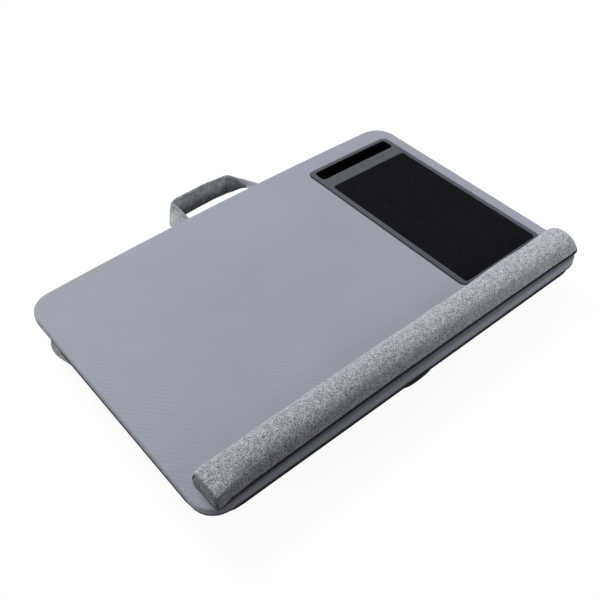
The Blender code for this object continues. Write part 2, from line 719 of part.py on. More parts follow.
def handle_path():
    """Centre line of the strap seen from above, from its left end round to its right end."""
    root, grip = HANDLE_ROOT_SPAN / 2, HANDLE_GRIP_SPAN / 2
    crown = BOARD_DEPTH + HANDLE_REACH - STRAP_THICKNESS / 2
    radius = (grip ** 2 + HANDLE_BOW ** 2) / (2 * HANDLE_BOW)
    reach = math.asin(grip / radius)
    far_run = arc((0, crown - radius), radius, math.pi / 2 + reach, math.pi / 2 - reach, 6)
    end = BOARD_DEPTH - STRAP_END_LENGTH
    bend = BOARD_DEPTH + NOTCH_CLEARANCE * 2
    points = [(-root, end), (-root, bend), *far_run, (root, bend), (root, end)]
    radii = [0, STRAP_ROOT_BEND, STRAP_FAR_BEND, *[0] * (len(far_run) - 2), STRAP_FAR_BEND, STRAP_ROOT_BEND, 0]
    return subdivided(filleted_path(points, radii), STRAP_TWIST_LENGTH / 7)


def smooth_step(value):
    value = min(max(value, 0), 1)
    return value * value * (3 - 2 * value)


def strap_section(centre, across, through, thickness):
    half, thin = STRAP_WIDTH / 2, thickness / 2
    cut = thin / 2
    outline = [(half, thin - cut), (half - cut, thin), (-half + cut, thin), (-half, thin - cut),
               (-half, cut - thin), (cut - half, -thin), (half - cut, -thin), (half, cut - thin)]
    return [centre + across * a + through * t for a, t in outline]


def make_handle_strap(material):
    """The strap lies flat under the board and turns on edge as it comes out, so its grip stands upright.

    Its inner edge at each end is the grip's top edge.
    """
    path = handle_path()
    up = Vector((0, 0, 1))
    loops = []
    for i, place in enumerate(path):
        along = (path[min(i + 1, len(path) - 1)] - path[max(i - 1, 0)]).normalized()
        outward = Vector((-along.y, along.x, 0))
        out = smooth_step((place.y - BOARD_DEPTH - STRAP_TWIST_START) / STRAP_TWIST_LENGTH)
        turn = math.pi / 2 * out
        thickness = STRAP_END_THICKNESS + (STRAP_THICKNESS - STRAP_END_THICKNESS) * out
        z = STRAP_END_TOP - STRAP_END_THICKNESS / 2 - STRAP_DROOP * out
        across = outward * math.cos(turn) - up * math.sin(turn)
        through = outward * math.sin(turn) + up * math.cos(turn)
        loops.append(strap_section(Vector((place.x, place.y, z)), across, through, thickness))
    strap = add_object("handle_strap", loft_mesh("handle_strap", loops, 50), material)
    bores = [bore_loops(x, y, PANEL_BOTTOM, BOARD_BOTTOM) for x, y in handle_screw_places()]
    apply_boolean(strap, make_cutter("strap_bore_cutter", lofts_mesh("strap_bores", bores)), "DIFFERENCE")


# Screws

def make_screws(material):
    blind_top = BOARD_BOTTOM + BOARD_SCREW_BITE
    boss_top = PAD_FLOOR - TRAY_WALL - SEAT_GAP
    head = PANEL_BOTTOM + SEAT_GAP
    for i, (x, y) in enumerate(panel_screw_places(), 1):
        make_screw(f"panel_screw_{i}", x, y, countersunk_profile(head, blind_top), material)
    for i, (x, y) in enumerate(wrist_screw_places(), 1):
        make_screw(f"wrist_rest_screw_{i}", x, y, countersunk_profile(head, BACKING_TOP), material)
    for i, (x, y) in enumerate(tray_screw_places(), 1):
        make_screw(f"tray_screw_{i}", x, y, countersunk_profile(head, boss_top), material)
    wafer = STRAP_END_TOP - STRAP_END_THICKNESS - SEAT_GAP - WAFER_HEAD_HEIGHT
    for i, (x, y) in enumerate(handle_screw_places(), 1):
        make_screw(f"handle_screw_{i}", x, y, wafer_profile(wafer, blind_top), material)


def build():
    clear_scene()
    fabric = make_material("heather_fabric", (128, 132, 138), 0.95)
    plastic = make_material("tray_plastic", (88, 91, 99), 0.45)
    black_board = make_material("black_board", (16, 16, 18), 0.7)
    zinc = make_material("zinc", (176, 178, 180), 0.35, 1.0)
    make_top_board(make_material("board_laminate", (150, 153, 164), 0.42))
    make_base_panel(black_board)
    make_tray_insert(plastic)
    make_slot_liner(make_material("slot_rubber", (8, 8, 9), 0.9))
    make_mouse_pad(make_material("pad_fabric", (29, 29, 34), 0.95))
    make_wrist_rest(fabric)
    make_wrist_backing(black_board)
    make_cushion("cushion_left", -1, fabric)
    make_cushion("cushion_right", 1, fabric)
    make_centre_strip(make_material("vent_mesh", (14, 14, 15), 0.95))
    make_handle_strap(fabric)
    make_screws(zinc)


build()
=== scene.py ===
"""A lap desk with a padded wrist rest, a mouse tray with a phone slot, and a strap handle.

It stands on a plain white floor. Lengths are in metres.
"""

import math
import bmesh
import bpy
from mathutils import Matrix, Vector, noise
from mathutils.kdtree import KDTree


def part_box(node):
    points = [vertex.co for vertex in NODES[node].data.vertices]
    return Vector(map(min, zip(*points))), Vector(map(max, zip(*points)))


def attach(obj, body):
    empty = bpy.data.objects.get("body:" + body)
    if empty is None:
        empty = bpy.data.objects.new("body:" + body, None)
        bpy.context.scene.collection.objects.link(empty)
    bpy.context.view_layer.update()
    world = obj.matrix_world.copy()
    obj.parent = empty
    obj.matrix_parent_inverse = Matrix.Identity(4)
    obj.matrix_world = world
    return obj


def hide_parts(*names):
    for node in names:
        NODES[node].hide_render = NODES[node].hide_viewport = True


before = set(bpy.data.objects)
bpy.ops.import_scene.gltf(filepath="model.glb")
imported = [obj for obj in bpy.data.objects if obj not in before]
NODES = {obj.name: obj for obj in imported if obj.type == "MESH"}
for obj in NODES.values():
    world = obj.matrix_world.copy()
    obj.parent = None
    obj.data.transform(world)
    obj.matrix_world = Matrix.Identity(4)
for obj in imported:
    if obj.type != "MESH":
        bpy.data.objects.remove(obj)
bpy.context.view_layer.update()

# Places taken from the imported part
BOARD_LOW, BOARD_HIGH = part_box("top_board")
BOARD_TOP = BOARD_HIGH.z
FRONT_Y = BOARD_LOW.y
TRAY_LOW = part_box("tray_insert")[0]

# Details of the board and the tray
TRAY_CORNER = 0.0095    # radius of the tray's front left corner
REVEAL = 0.0009         # gap between the tray and the board
DARK_EDGE = 0.0030      # height of the black band at the foot of the board's edge
TRAY_SHADOW_WIDTH = 0.0016      # painted shadow: dark line along the tray's left and front edges
EDGE_BLEND = 0.0002     # over which such a line ends
MM = 0.001


# Camera

PHOTO_SIDE = 600        # pixels
FOCAL_LENGTH = 819.8    # pixels
SENSOR_SIDE = 36        # millimetres
CAMERA_ANGLES = (-39.86, 45.61, -0.243)     # turn, rise and roll in degrees
CAMERA_PLACE = Vector((-0.43765, FRONT_Y - 0.3296, BOARD_TOP + 0.6441))


def make_camera():
    """The photograph's viewpoint, found from the board's corners and straight edges."""
    turn, rise, roll = (math.radians(angle) for angle in CAMERA_ANGLES)
    back = Vector((math.sin(turn) * math.cos(rise), -math.cos(turn) * math.cos(rise), math.sin(rise)))
    data = bpy.data.cameras.new("photo_camera")
    data.sensor_width = SENSOR_SIDE
    data.lens = FOCAL_LENGTH / PHOTO_SIDE * SENSOR_SIDE
    data.clip_start, data.clip_end = 0.01, 20
    camera = bpy.data.objects.new("photo_camera", data)
    bpy.context.scene.collection.objects.link(camera)
    right = back.cross(Vector((0, 0, 1))).normalized() * -1
    up = back.cross(right)
    tilted_right = right * math.cos(roll) + up * math.sin(roll)
    tilted_up = up * math.cos(roll) - right * math.sin(roll)
    columns = (tilted_right, tilted_up, back, CAMERA_PLACE)
    camera.matrix_world = Matrix([[column[row] for column in columns] for row in range(3)] + [[0, 0, 0, 1]])
    bpy.context.scene.camera = camera


# Lights and floor

LIGHTS = {
    # place, what it points at, width and height, watts
    "key": ((0.02, 1.62, 2.15), (0, 0, 0.05), (1.2, 0.8), 60),
    "fill_left": ((-2.4, 0.45, 0.60), (-0.2, 0.05, 0.03), (1.4, 0.7), 21),
    "fill_right": ((0.75, -0.70, 0.38), (0.24, -0.17, 0.06), (0.4, 0.3), 3.8),
}
SKY_FRONT, SKY_BACK = 0.045, 0.42       # the sky's strength at the front and at the back
SKY_DARK_UP_TO = -0.3                   # the direction's Y from which it gets brighter
FLOOR_SIDE = 6
FLOOR_DROP = 0.0002                     # below the object's lowest point
FLOOR_GLOW = 0.94                       # its own light where it is seen
FLOOR_PAPER = 0.12                      # and its reflectivity there, which keeps the object's shadow
FLOOR_DIM = 0.13                        # its reflectivity towards the object


def make_light(name, place, target, size, power):
    data = bpy.data.lights.new(name, "AREA")
    data.shape = "RECTANGLE"
    data.size, data.size_y = size
    data.energy = power
    lamp = bpy.data.objects.new(name, data)
    lamp.location = place
    lamp.rotation_mode = "QUATERNION"
    lamp.rotation_quaternion = (Vector(target) - Vector(place)).to_track_quat("-Z", "Y")
    bpy.context.scene.collection.objects.link(lamp)


def make_studio():
    make_world()
    for name, settings in LIGHTS.items():
        make_light(name, *settings)
    floor = plane_object("floor", FLOOR_SIDE)
    floor.location.z = -FLOOR_DROP
    floor.data.materials.append(floor_material())


def make_world():
    """Pure white where it is seen. The light that it gives is a cool sky, brighter towards the back."""
    world = bpy.data.worlds.new("studio")
    bpy.context.scene.world = world
    world.use_nodes = True
    nodes, links = world.node_tree.nodes, world.node_tree.links
    nodes.clear()
    where = nodes.new("ShaderNodeTexCoord")
    split = nodes.new("ShaderNodeSeparateXYZ")
    links.new(where.outputs["Generated"], split.inputs[0])
    towards_back = nodes.new("ShaderNodeMapRange")
    towards_back.inputs["From Min"].default_value = SKY_DARK_UP_TO
    towards_back.inputs["To Min"].default_value = SKY_FRONT
    towards_back.inputs["To Max"].default_value = SKY_BACK
    links.new(split.outputs["Y"], towards_back.inputs["Value"])
    sky = coloured(nodes, "ShaderNodeBackground", (0.93, 0.96, 1))
    links.new(towards_back.outputs[0], sky.inputs["Strength"])
    white = coloured(nodes, "ShaderNodeBackground", (1, 1, 1))
    white.inputs["Strength"].default_value = 1
    show_or_light(nodes, links, white, sky, nodes.new("ShaderNodeOutputWorld"))


def coloured(nodes, kind, colour):
    node = nodes.new(kind)
    node.inputs["Color"].default_value = (*colour, 1)
    return node


def show_or_light(nodes, links, shown, light, out):
    """One shader for what is seen, and another for the light that is thrown on the object."""
    mix = nodes.new("ShaderNodeMixShader")
    links.new(seen_directly(nodes, links), mix.inputs[0])
    links.new(light.outputs[0], mix.inputs[1])
    links.new(shown.outputs[0], mix.inputs[2])
    links.new(mix.outputs[0], out.inputs["Surface"])


def seen_directly(nodes, links):
    """1 for what the camera, a reflection or a see-through piece shows, and 0 for light on its way."""
    path = nodes.new("ShaderNodeLightPath")
    total = path.outputs["Is Camera Ray"]
    for ray in ("Is Glossy Ray", "Is Transmission Ray"):
        most = nodes.new("ShaderNodeMath")
        most.operation = "MAXIMUM"
        links.new(total, most.inputs[0])
        links.new(path.outputs[ray], most.inputs[1])
        total = most.outputs[0]
    return total


def plane_object(name, size):
    mesh = bpy.data.meshes.new(name)
    half = size / 2
    corners = [(-half, -half, 0), (half, -half, 0), (half, half, 0), (-half, half, 0)]
    mesh.from_pydata(corners, [], [(0, 1, 2, 3)])
    plane = bpy.data.objects.new(name, mesh)
    bpy.context.scene.collection.objects.link(plane)
    return plane


def floor_material():
    """White where the camera or a reflection sees it, and darker to the light that it throws back."""
    material, nodes, links = blank_material("floor_white")
    paper = coloured(nodes, "ShaderNodeBsdfDiffuse", [FLOOR_PAPER] * 3)
    glow = coloured(nodes, "ShaderNodeEmission", (1, 1, 1))
    glow.inputs["Strength"].default_value = FLOOR_GLOW
    both = nodes.new("ShaderNodeAddShader")
    links.new(paper.outputs[0], both.inputs[0])
    links.new(glow.outputs[0], both.inputs[1])
    dim = coloured(nodes, "ShaderNodeBsdfDiffuse", [FLOOR_DIM] * 3)
    show_or_light(nodes, links, both, dim, nodes.new("ShaderNodeOutputMaterial"))
    return material


# Materials

def linear(*levels):
    """Colour as written on a screen, 0 to 255, in the linear values that shaders take."""
    shares = (level / 255 for level in levels)
    return tuple(v / 12.92 if v <= 0.04045 else ((v + 0.055) / 1.055) ** 2.4 for v in shares) + (1,)


BLACK = linear(1, 1, 2)


def blank_material(name):
    material = bpy.data.materials.new(name)
    material.use_nodes = True
    nodes, links = material.node_tree.nodes, material.node_tree.links
    nodes.clear()
    return material, nodes, links


class Shader:
    """Small helper that adds nodes to one Principled material."""

    def __init__(self, name, roughness, **constants):
        self.material, self.nodes, self.links = blank_material(name)
        out = self.nodes.new("ShaderNodeOutputMaterial")
        self.main = self.nodes.new("ShaderNodeBsdfPrincipled")
        self.links.new(self.main.outputs[0], out.inputs["Surface"])
        self.main.inputs["Roughness"].default_value = roughness
        for key, value in constants.items():
            self.main.inputs[key.replace("_", " ")].default_value = value
        self.height = None

    def add(self, kind, inputs=None, **settings):
        node = self.nodes.new(kind)
        for key, value in settings.items():
            setattr(node, key, value)
        for key, value in (inputs or {}).items():
            if hasattr(value, "is_output"):
                self.links.new(value, node.inputs[key])
            else:
                node.inputs[key].default_value = value
        return node

    def place(self, scale=(1, 1, 1), turn=(0, 0, 0)):
        where = self.add("ShaderNodeTexCoord").outputs["Object"]
        return self.add("ShaderNodeMapping", {"Vector": where, "Rotation": turn, "Scale": scale}).outputs[0]

    def axes(self, vector):
        """The vector's outputs "X", "Y" and "Z"."""
        return self.add("ShaderNodeSeparateXYZ", {0: vector}).outputs

    def noise(self, where, scale, detail=2, rough=0.5):
        values = {"Vector": where, "Scale": scale, "Detail": detail, "Roughness": rough}
        return self.add("ShaderNodeTexNoise", values).outputs["Fac"]

    def wave(self, where, scale, axis, distortion=0.5, detail=0, detail_scale=1):
        values = {"Vector": where, "Scale": scale, "Distortion": distortion, "Detail": detail,
                  "Detail Scale": detail_scale}
        return self.add("ShaderNodeTexWave", values, bands_direction=axis).outputs["Fac"]

    def ramp(self, value, stops):
        node = self.add("ShaderNodeValToRGB", {"Fac": value})
        while len(node.color_ramp.elements) < len(stops):
            node.color_ramp.elements.new(0.5)
        for element, (at, colour) in zip(node.color_ramp.elements, stops):
            element.position = at
            element.color = colour
        return node.outputs[0]

    def spread(self, value, low, high, to_low, to_high):
        """The value's range from low to high, stretched to another range and cut off at its ends."""
        values = {"Value": value, "From Min": low, "From Max": high, "To Min": to_low, "To Max": to_high}
        return self.add("ShaderNodeMapRange", values).outputs[0]

    def math(self, kind, a, b):
        return self.add("ShaderNodeMath", {0: a, 1: b}, operation=kind).outputs[0]

    def dot(self, a, b):
        return self.add("ShaderNodeVectorMath", {0: a, 1: b}, operation="DOT_PRODUCT").outputs["Value"]

    def mix(self, share, a, b, kind="MIX"):
        node = self.add("ShaderNodeMix", {"Factor": share}, data_type="RGBA", blend_type=kind)
        for value, socket in ((a, node.inputs[6]), (b, node.inputs[7])):
            if hasattr(value, "is_output"):
                self.links.new(value, socket)
            else:
                socket.default_value = value
        return node.outputs[2]

    def toned(self, colour, tone):
        """The colour made darker or lighter. A tone of 1 leaves it as it is."""
        grey = self.add("ShaderNodeCombineXYZ", {0: tone, 1: tone, 2: tone}).outputs[0]
        return self.mix(1, colour, grey, "MULTIPLY")

    def colour(self, value):
        self.links.new(value, self.main.inputs["Base Color"])

    def rough(self, value):
        self.links.new(value, self.main.inputs["Roughness"])

    def bump(self, height, distance, strength=1):
        node = self.add("ShaderNodeBump", {"Height": height, "Distance": distance, "Strength": strength})
        if self.height is not None:
            self.links.new(self.height, node.inputs["Normal"])
        self.height = node.outputs[0]
        self.links.new(self.height, self.main.inputs["Normal"])


# Grey board

RIB_TURN = math.radians(48)
RIB_SCALE = 66          # ribs 4.8 mm apart
CROSS_SCALE = 150       # finer bands across them, 2.1 mm apart
RIB_GROWTH = (-0.55, -0.83, 0)      # the ribs stand out more in this direction, to the front left


def laminate_material():
    """Satin grey laminate with a fine diagonal rib, like woven carbon, above a black foot."""
    s = Shader("grey_laminate", 0.6, Specular_IOR_Level=0.2)
    flat = s.place()
    slant = s.place(turn=(0, 0, RIB_TURN))
    rib = s.wave(slant, RIB_SCALE, "Y", 0.5, 1, 0.5)
    cross = s.wave(slant, CROSS_SCALE, "X", 0.4)
    patchy = s.spread(s.noise(flat, 14, 2), 0.35, 0.65, 0.35, 1.0)
    strength = s.math("MULTIPLY", patchy, s.spread(s.dot(flat, RIB_GROWTH), -0.05, 0.22, 0.3, 1.6))
    shade = s.spread(s.math("MULTIPLY", rib, strength), 0, 1, 0.895, 0.945)
    shade = s.math("MULTIPLY", shade, s.spread(cross, 0, 1, 0.985, 1.0))
    shade = s.math("MULTIPLY", shade, s.spread(s.noise(flat, 9, 3), 0.25, 0.75, 0.965, 1.03))
    grey = s.mix(shade, linear(0, 0, 0), linear(160, 163, 175))
    foot_top = BOARD_LOW.z + DARK_EDGE
    foot = s.spread(s.axes(flat)["Z"], foot_top, foot_top - 2 * EDGE_BLEND, 0, 1)
    s.colour(s.mix(foot, grey, BLACK))
    s.rough(s.spread(s.noise(flat, 55, 3), 0.3, 0.7, 0.56, 0.66))
    s.bump(rib, 0.00010)
    s.bump(s.noise(flat, 1500, 2), 0.00003)
    return s.material


# Other hard parts

def black_board_material():
    s = Shader("black_backing", 0.8, Specular_IOR_Level=0.05)
    where = s.place()
    speck = s.noise(where, 900, 3, 0.6)
    s.colour(s.ramp(speck, [(0.3, linear(3, 3, 4)), (0.7, linear(11, 11, 13))]))
    s.bump(speck, 0.0001)
    return s.material


def tray_material():
    """Satin plastic, with a painted shadow: black along the outermost strip of the tray's left and front
    edges.
    """
    s = Shader("tray_plastic", 0.5, Specular_IOR_Level=0.2)
    where = s.place()
    plastic = s.ramp(s.noise(where, 30, 3), [(0.2, linear(68, 70, 79)), (0.8, linear(80, 82, 91))])
    at = s.axes(where)
    left = s.math("MAXIMUM", s.math("SUBTRACT", TRAY_LOW.x + TRAY_CORNER, at["X"]), 0)
    front = s.math("MAXIMUM", s.math("SUBTRACT", TRAY_LOW.y + TRAY_CORNER, at["Y"]), 0)
    outwards = s.math("SQRT", s.math("ADD", s.math("POWER", left, 2), s.math("POWER", front, 2)), 0)
    # painted shadow: the black strip starts here, counted from the centre of the front left corner
    lip = TRAY_CORNER - TRAY_SHADOW_WIDTH
    s.colour(s.mix(s.spread(outwards, lip - EDGE_BLEND, lip, 0, 1), plastic, BLACK))
    s.rough(s.spread(s.noise(where, 260, 2), 0.3, 0.7, 0.42, 0.56))
    s.bump(s.noise(where, 2600, 2), 0.00004)
    return s.material


def painted_seam_material():
    """Painted shade on the bead in the tray's gap: a black painted shadow at the tray's left and front, and
    painted light in the board's grey over the gap's shade at its right and back.
    """
    s = Shader("tray_seam_painted_shade", 0.7, Specular_IOR_Level=0.2)
    where = s.place()
    at = s.axes(where)
    # painted shadow in black at the tray's left and front
    left = s.math("LESS_THAN", at["X"], TRAY_LOW.x + TRAY_CORNER / 2)
    front = s.math("LESS_THAN", at["Y"], TRAY_LOW.y + TRAY_CORNER / 2)
    speck = s.noise(where, 300, 2)
    # painted light: the board's grey laid over the gap's shade at its right and back
    grey = s.ramp(speck, [(0.3, linear(146, 149, 160)), (0.7, linear(154, 157, 168))])
    s.colour(s.mix(s.math("MAXIMUM", left, front), grey, BLACK))
    s.bump(speck, 0.00004)
    return s.material


def rubber_material():
    s = Shader("slot_rubber", 0.9, Specular_IOR_Level=0.03)
    where = s.place()
    speck = s.noise(where, 700, 2)
    s.colour(s.ramp(speck, [(0.3, linear(1, 1, 1)), (0.7, linear(4, 4, 4))]))
    s.bump(speck, 0.00008)
    return s.material


def zinc_material():
    s = Shader("zinc_plate", 0.35, Metallic=1.0)
    where = s.place()
    cloud = s.noise(where, 500, 3)
    s.colour(s.ramp(cloud, [(0.3, linear(150, 152, 155)), (0.7, linear(196, 198, 200))]))
    s.rough(s.spread(cloud, 0.3, 0.7, 0.28, 0.45))
    s.bump(s.noise(where, 3000, 2), 0.00003)
    return s.material


# Cloths

KNIT_SCALE = 420        # knit of the mouse pad, 0.75 mm apart
THREAD_SCALE = 1150     # heather threads, about 0.9 mm thick
HEATHER_MIDDLE = (166, 169, 174)        # the grey that stays as it is when the contrast changes
HEATHER_STOPS = ((0.40, (74, 77, 83)), (0.465, (136, 139, 145)), (0.53, (190, 193, 198)),
                 (0.60, (232, 234, 237)))
GRIP_START, GRIP_FULL = FRONT_Y + 0.380, FRONT_Y + 0.386    # where the painted light on the strap's grip begins, and where it is full
FOOT_SHADOW_LOW, FOOT_SHADOW_HIGH = 0.0012, 0.0062    # height of the painted shadow along the rest's front foot, at the left end and further on
FOOT_SHADOW_BACK = FRONT_Y + 0.013               # the painted shadow is only ahead of this


def mouse_pad_material():
    """Tight dark knit with faint lighter specks and a low sheen."""
    s = Shader("pad_cloth", 0.9, Specular_IOR_Level=0.03, Sheen_Weight=0.01, Sheen_Roughness=0.5)
    where = s.place()
    weave = s.math("MULTIPLY", s.wave(where, KNIT_SCALE, "X"), s.wave(where, KNIT_SCALE, "Y"))
    speck = s.noise(where, 240, 4, 0.7)
    blend = s.math("ADD", s.math("MULTIPLY", weave, 0.25), s.math("MULTIPLY", speck, 0.75))
    s.colour(s.ramp(blend, [(0.2, linear(9, 9, 13)), (0.5, linear(18, 17, 23)), (0.8, linear(38, 37, 44))]))
    s.bump(weave, 0.0001)
    s.bump(speck, 0.00008)
    return s.material


def heather_material(name, contrast=1.0, tone=None):
    """Woven heather cloth: dark and light threads mixed, with slubs along both directions of the weave.

    The tone, where there is one, is a function that changes the cloth's colour from place to place; here it
    carries painted shade on the wrist rest and painted light on the strap.
    """
    s = Shader(name, 0.92, Specular_IOR_Level=0.12, Sheen_Weight=0.08, Sheen_Roughness=0.5)
    where = s.place()
    slub_x = s.noise(s.place(scale=(0.5, 1.25, 1.25)), THREAD_SCALE, 1.5, 0.55)
    slub_y = s.noise(s.place(scale=(1.25, 0.5, 0.8), turn=(0.3, 0, 0)), THREAD_SCALE, 1.5, 0.55)
    fine = s.noise(where, 2600, 2, 0.6)
    blotch = s.noise(where, 190, 2, 0.55)
    threads = s.math("ADD", s.math("MULTIPLY", slub_x, 0.5), s.math("MULTIPLY", slub_y, 0.5))
    blend = s.math("ADD", s.math("MULTIPLY", threads, 0.78), s.math("MULTIPLY", fine, 0.12))
    blend = s.math("ADD", blend, s.math("MULTIPLY", blotch, 0.10))
    stops = []
    for at, levels in HEATHER_STOPS:
        levels = (middle + (level - middle) * contrast for level, middle in zip(levels, HEATHER_MIDDLE))
        stops.append((at, linear(*levels)))
    cloth = s.ramp(blend, stops)
    s.colour(tone(s, cloth) if tone else cloth)
    s.bump(threads, 0.0005, 0.8 * contrast)
    s.bump(fine, 0.0003, 0.6 * contrast)
    return s.material


def painted_light_on_grip(s, cloth):
    """Painted light: along the grip, the strap's face that looks to the front is made paler than the rest,
    unevenly in blotches.
    """
    grip = s.spread(s.axes(s.place())["Y"], GRIP_START, GRIP_FULL, 0, 1)
    normal = s.add("ShaderNodeNewGeometry").outputs["Normal"]
    # painted light only on the faces that look to the front
    grip = s.math("MULTIPLY", grip, s.spread(s.dot(normal, (0, -1, 0)), 0.2, 0.6, 0, 1))
    blotch = s.spread(s.noise(s.place(), 130, 3, 0.6), 0.3, 0.7, 0.95, 1.95)
    return s.toned(cloth, s.math("ADD", 1, s.math("MULTIPLY", grip, s.math("SUBTRACT", blotch, 1))))


def shaded_rest(s, cloth):
    """Painted shade on the wrist rest: a black painted shadow along the foot of its front, and painted shade
    that darkens the cloth to the left, most on its left end face.
    """
    at = s.axes(s.place())
    # painted shade: the cloth darker to the left and lighter to the right, as the light falls
    tone = s.spread(at["X"], REST_LEFT, REST_RIGHT, 0.84, 1.06)
    # painted shade, deepest on the left end face
    fold = s.spread(at["X"], REST_LEFT + 0.0002, REST_LEFT + 0.0030, 0.55, 1)
    cloth = s.toned(cloth, s.math("MULTIPLY", tone, fold))
    # painted shadow in black along the foot of the rest's front
    shadow_height = s.spread(at["X"], REST_LEFT + 0.001, REST_LEFT + 0.015, FOOT_SHADOW_LOW, FOOT_SHADOW_HIGH)
    share = s.math("DIVIDE", s.math("SUBTRACT", at["Z"], BOARD_TOP), shadow_height)
    front = s.math("LESS_THAN", at["Y"], FOOT_SHADOW_BACK)
    foot = s.math("MULTIPLY", s.spread(share, 0.88, 1, 1, 0), front)
    return s.mix(foot, cloth, linear(1, 1, 1))


def mesh_fabric_material():
    """Knitted black mesh with small round holes in staggered rows."""
    s = Shader("vent_mesh", 0.9, Specular_IOR_Level=0.08, Sheen_Weight=0.03)
    where = s.place()
    cell = s.add("ShaderNodeTexVoronoi", {"Vector": where, "Scale": 330, "Randomness": 0.25},
                 voronoi_dimensions="3D", feature="F1").outputs["Distance"]
    s.colour(s.ramp(cell, [(0.15, BLACK), (0.4, linear(13, 13, 15)), (0.7, linear(21, 21, 23))]))
    s.bump(cell, 0.0006)
    return s.material


def thread_material(name, level):
    s = Shader(name, 0.8, Specular_IOR_Level=0.3)
    twist = s.noise(s.place(), 2500, 2)
    low, high = linear(*(v * 0.8 for v in level)), linear(*level)
    s.colour(s.ramp(twist, [(0.35, low), (0.65, high)]))
    s.bump(twist, 0.0001)
    return s.material


# Meshes

def make_piece(name, bm, material, replaces=None):
    """A smooth visible object from a bmesh."""
    mesh = bpy.data.meshes.new(name)
    bm.normal_update()
    bm.to_mesh(mesh)
    bm.free()
    piece = bpy.data.objects.new(name, mesh)
    bpy.context.scene.collection.objects.link(piece)
    mesh.shade_smooth()
    mesh.materials.append(material)
    register(piece, replaces)
    return piece


def register(piece, replaces=None):
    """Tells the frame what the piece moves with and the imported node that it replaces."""
    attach(piece, "root")
    if replaces:
        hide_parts(replaces)


def bridge(bm, rows):
    """Joins neighbouring rows of points, each a closed ring, by four-sided faces."""
    count = len(rows[0])
    for a, b in zip(rows, rows[1:]):
        for i in range(count):
            j = (i + 1) % count
            bm.faces.new((a[i], a[j], b[j], b[i]))


def loft(rings, capped=True):
    """Closed rings joined by quads. A cap closes each end onto a middle point."""
    bm = bmesh.new()
    rows = [[bm.verts.new(p) for p in ring] for ring in rings]
    bridge(bm, rows)
    if capped:
        close_end(bm, rows[0], flipped=True)
        close_end(bm, rows[-1], flipped=False)
    bmesh.ops.recalc_face_normals(bm, faces=bm.faces)
    return bm


def close_end(bm, row, flipped):
    middle = bm.verts.new(sum((v.co for v in row), Vector()) / len(row))
    for i, corner in enumerate(row):
        after = row[(i + 1) % len(row)]
        bm.faces.new((after, corner, middle) if flipped else (corner, after, middle))


def ring_of_points(bm, centre, side, up, radius, sides):
    """New points round a centre, in the plane of two directions."""
    turns = (2 * math.pi * k / sides for k in range(sides))
    return [bm.verts.new(centre + (side * math.cos(turn) + up * math.sin(turn)) * radius) for turn in turns]


def smooth_step(low, high, value):
    t = min(max((value - low) / (high - low), 0), 1)
    return t * t * (3 - 2 * t)


def spline(points, steps):
    """Points on a smooth curve through the given ones, with a number of steps between each two."""
    points = [Vector(p) for p in points]
    ends = [points[0] * 2 - points[1]] + points + [points[-1] * 2 - points[-2]]
    fine = []
    for i in range(1, len(ends) - 2):
        a, b, c, d = ends[i - 1:i + 3]
        for step in range(steps):
            t = step / steps
            fine.append(0.5 * (2 * b + (c - a) * t + (2 * a - 5 * b + 4 * c - d) * t * t
                               + (3 * b - a - 3 * c + d) * t ** 3))
    fine.append(points[-1])
    return fine


# Tray seam, with a bead that carries painted shade

RIM_DEPTH = 0.003       # the tray's outline is taken from its points this near the board's top
SEAM_GAP = 0.0001       # between the bead and what is beside it
SEAM_FOOT = -0.0012     # the bead's heights, counted from the board's top
SEAM_CROWN = -0.0001
SEAM_ROUND = 0.0002     # size of the chamfer beside the tray


def make_tray_seam():
    """Bead in the narrow gap between the tray and the board, just below the board's top. Its colour is
    painted shade: a painted shadow at the tray's left and front, and painted light over the gap's shade at
    its right and back.
    """
    tray = NODES["tray_insert"]
    rim = [tray.matrix_world @ v.co for v in tray.data.vertices]
    rim = outer_ring([p for p in rim if p.z > BOARD_TOP - RIM_DEPTH])
    inner, outer = SEAM_GAP, REVEAL - SEAM_GAP
    profile = ((inner, SEAM_FOOT), (inner, SEAM_CROWN - SEAM_ROUND), (inner + SEAM_ROUND, SEAM_CROWN),
               (outer, SEAM_CROWN), (outer, SEAM_FOOT))
    rings = []
    for out, z in profile:
        rings.append([Vector((*offset_point(rim, i, out), BOARD_TOP + z)) for i in range(len(rim))])
    make_piece("tray_seam_painted_shade", loft(rings + rings[:1], capped=False), painted_seam_material())


def outer_ring(points):
    """The outermost of some points seen from above, counter-clockwise."""
    order = sorted({(round(p.x, 5), round(p.y, 5)) for p in points})
    hull = []
    for run in (order, order[::-1]):
        part = []
        for p in run:
            while len(part) > 1 and turn_of(part[-2], part[-1], p) <= 0:
                part.pop()
            part.append(p)
        hull += part[:-1]
    return [Vector(p) for p in hull]


def turn_of(a, b, c):
    """Above 0 where the way from a past b to c turns left."""
    return (b[0] - a[0]) * (c[1] - a[1]) - (b[1] - a[1]) * (c[0] - a[0])


def offset_point(ring, i, distance):
    """Point i of a counter-clockwise ring, moved outwards."""
    along = (ring[(i + 1) % len(ring)] - ring[i]).normalized() + (ring[i] - ring[i - 1]).normalized()
    along.normalize()
    return ring[i] + Vector((along.y, -along.x)) * distance


# Wrist rest

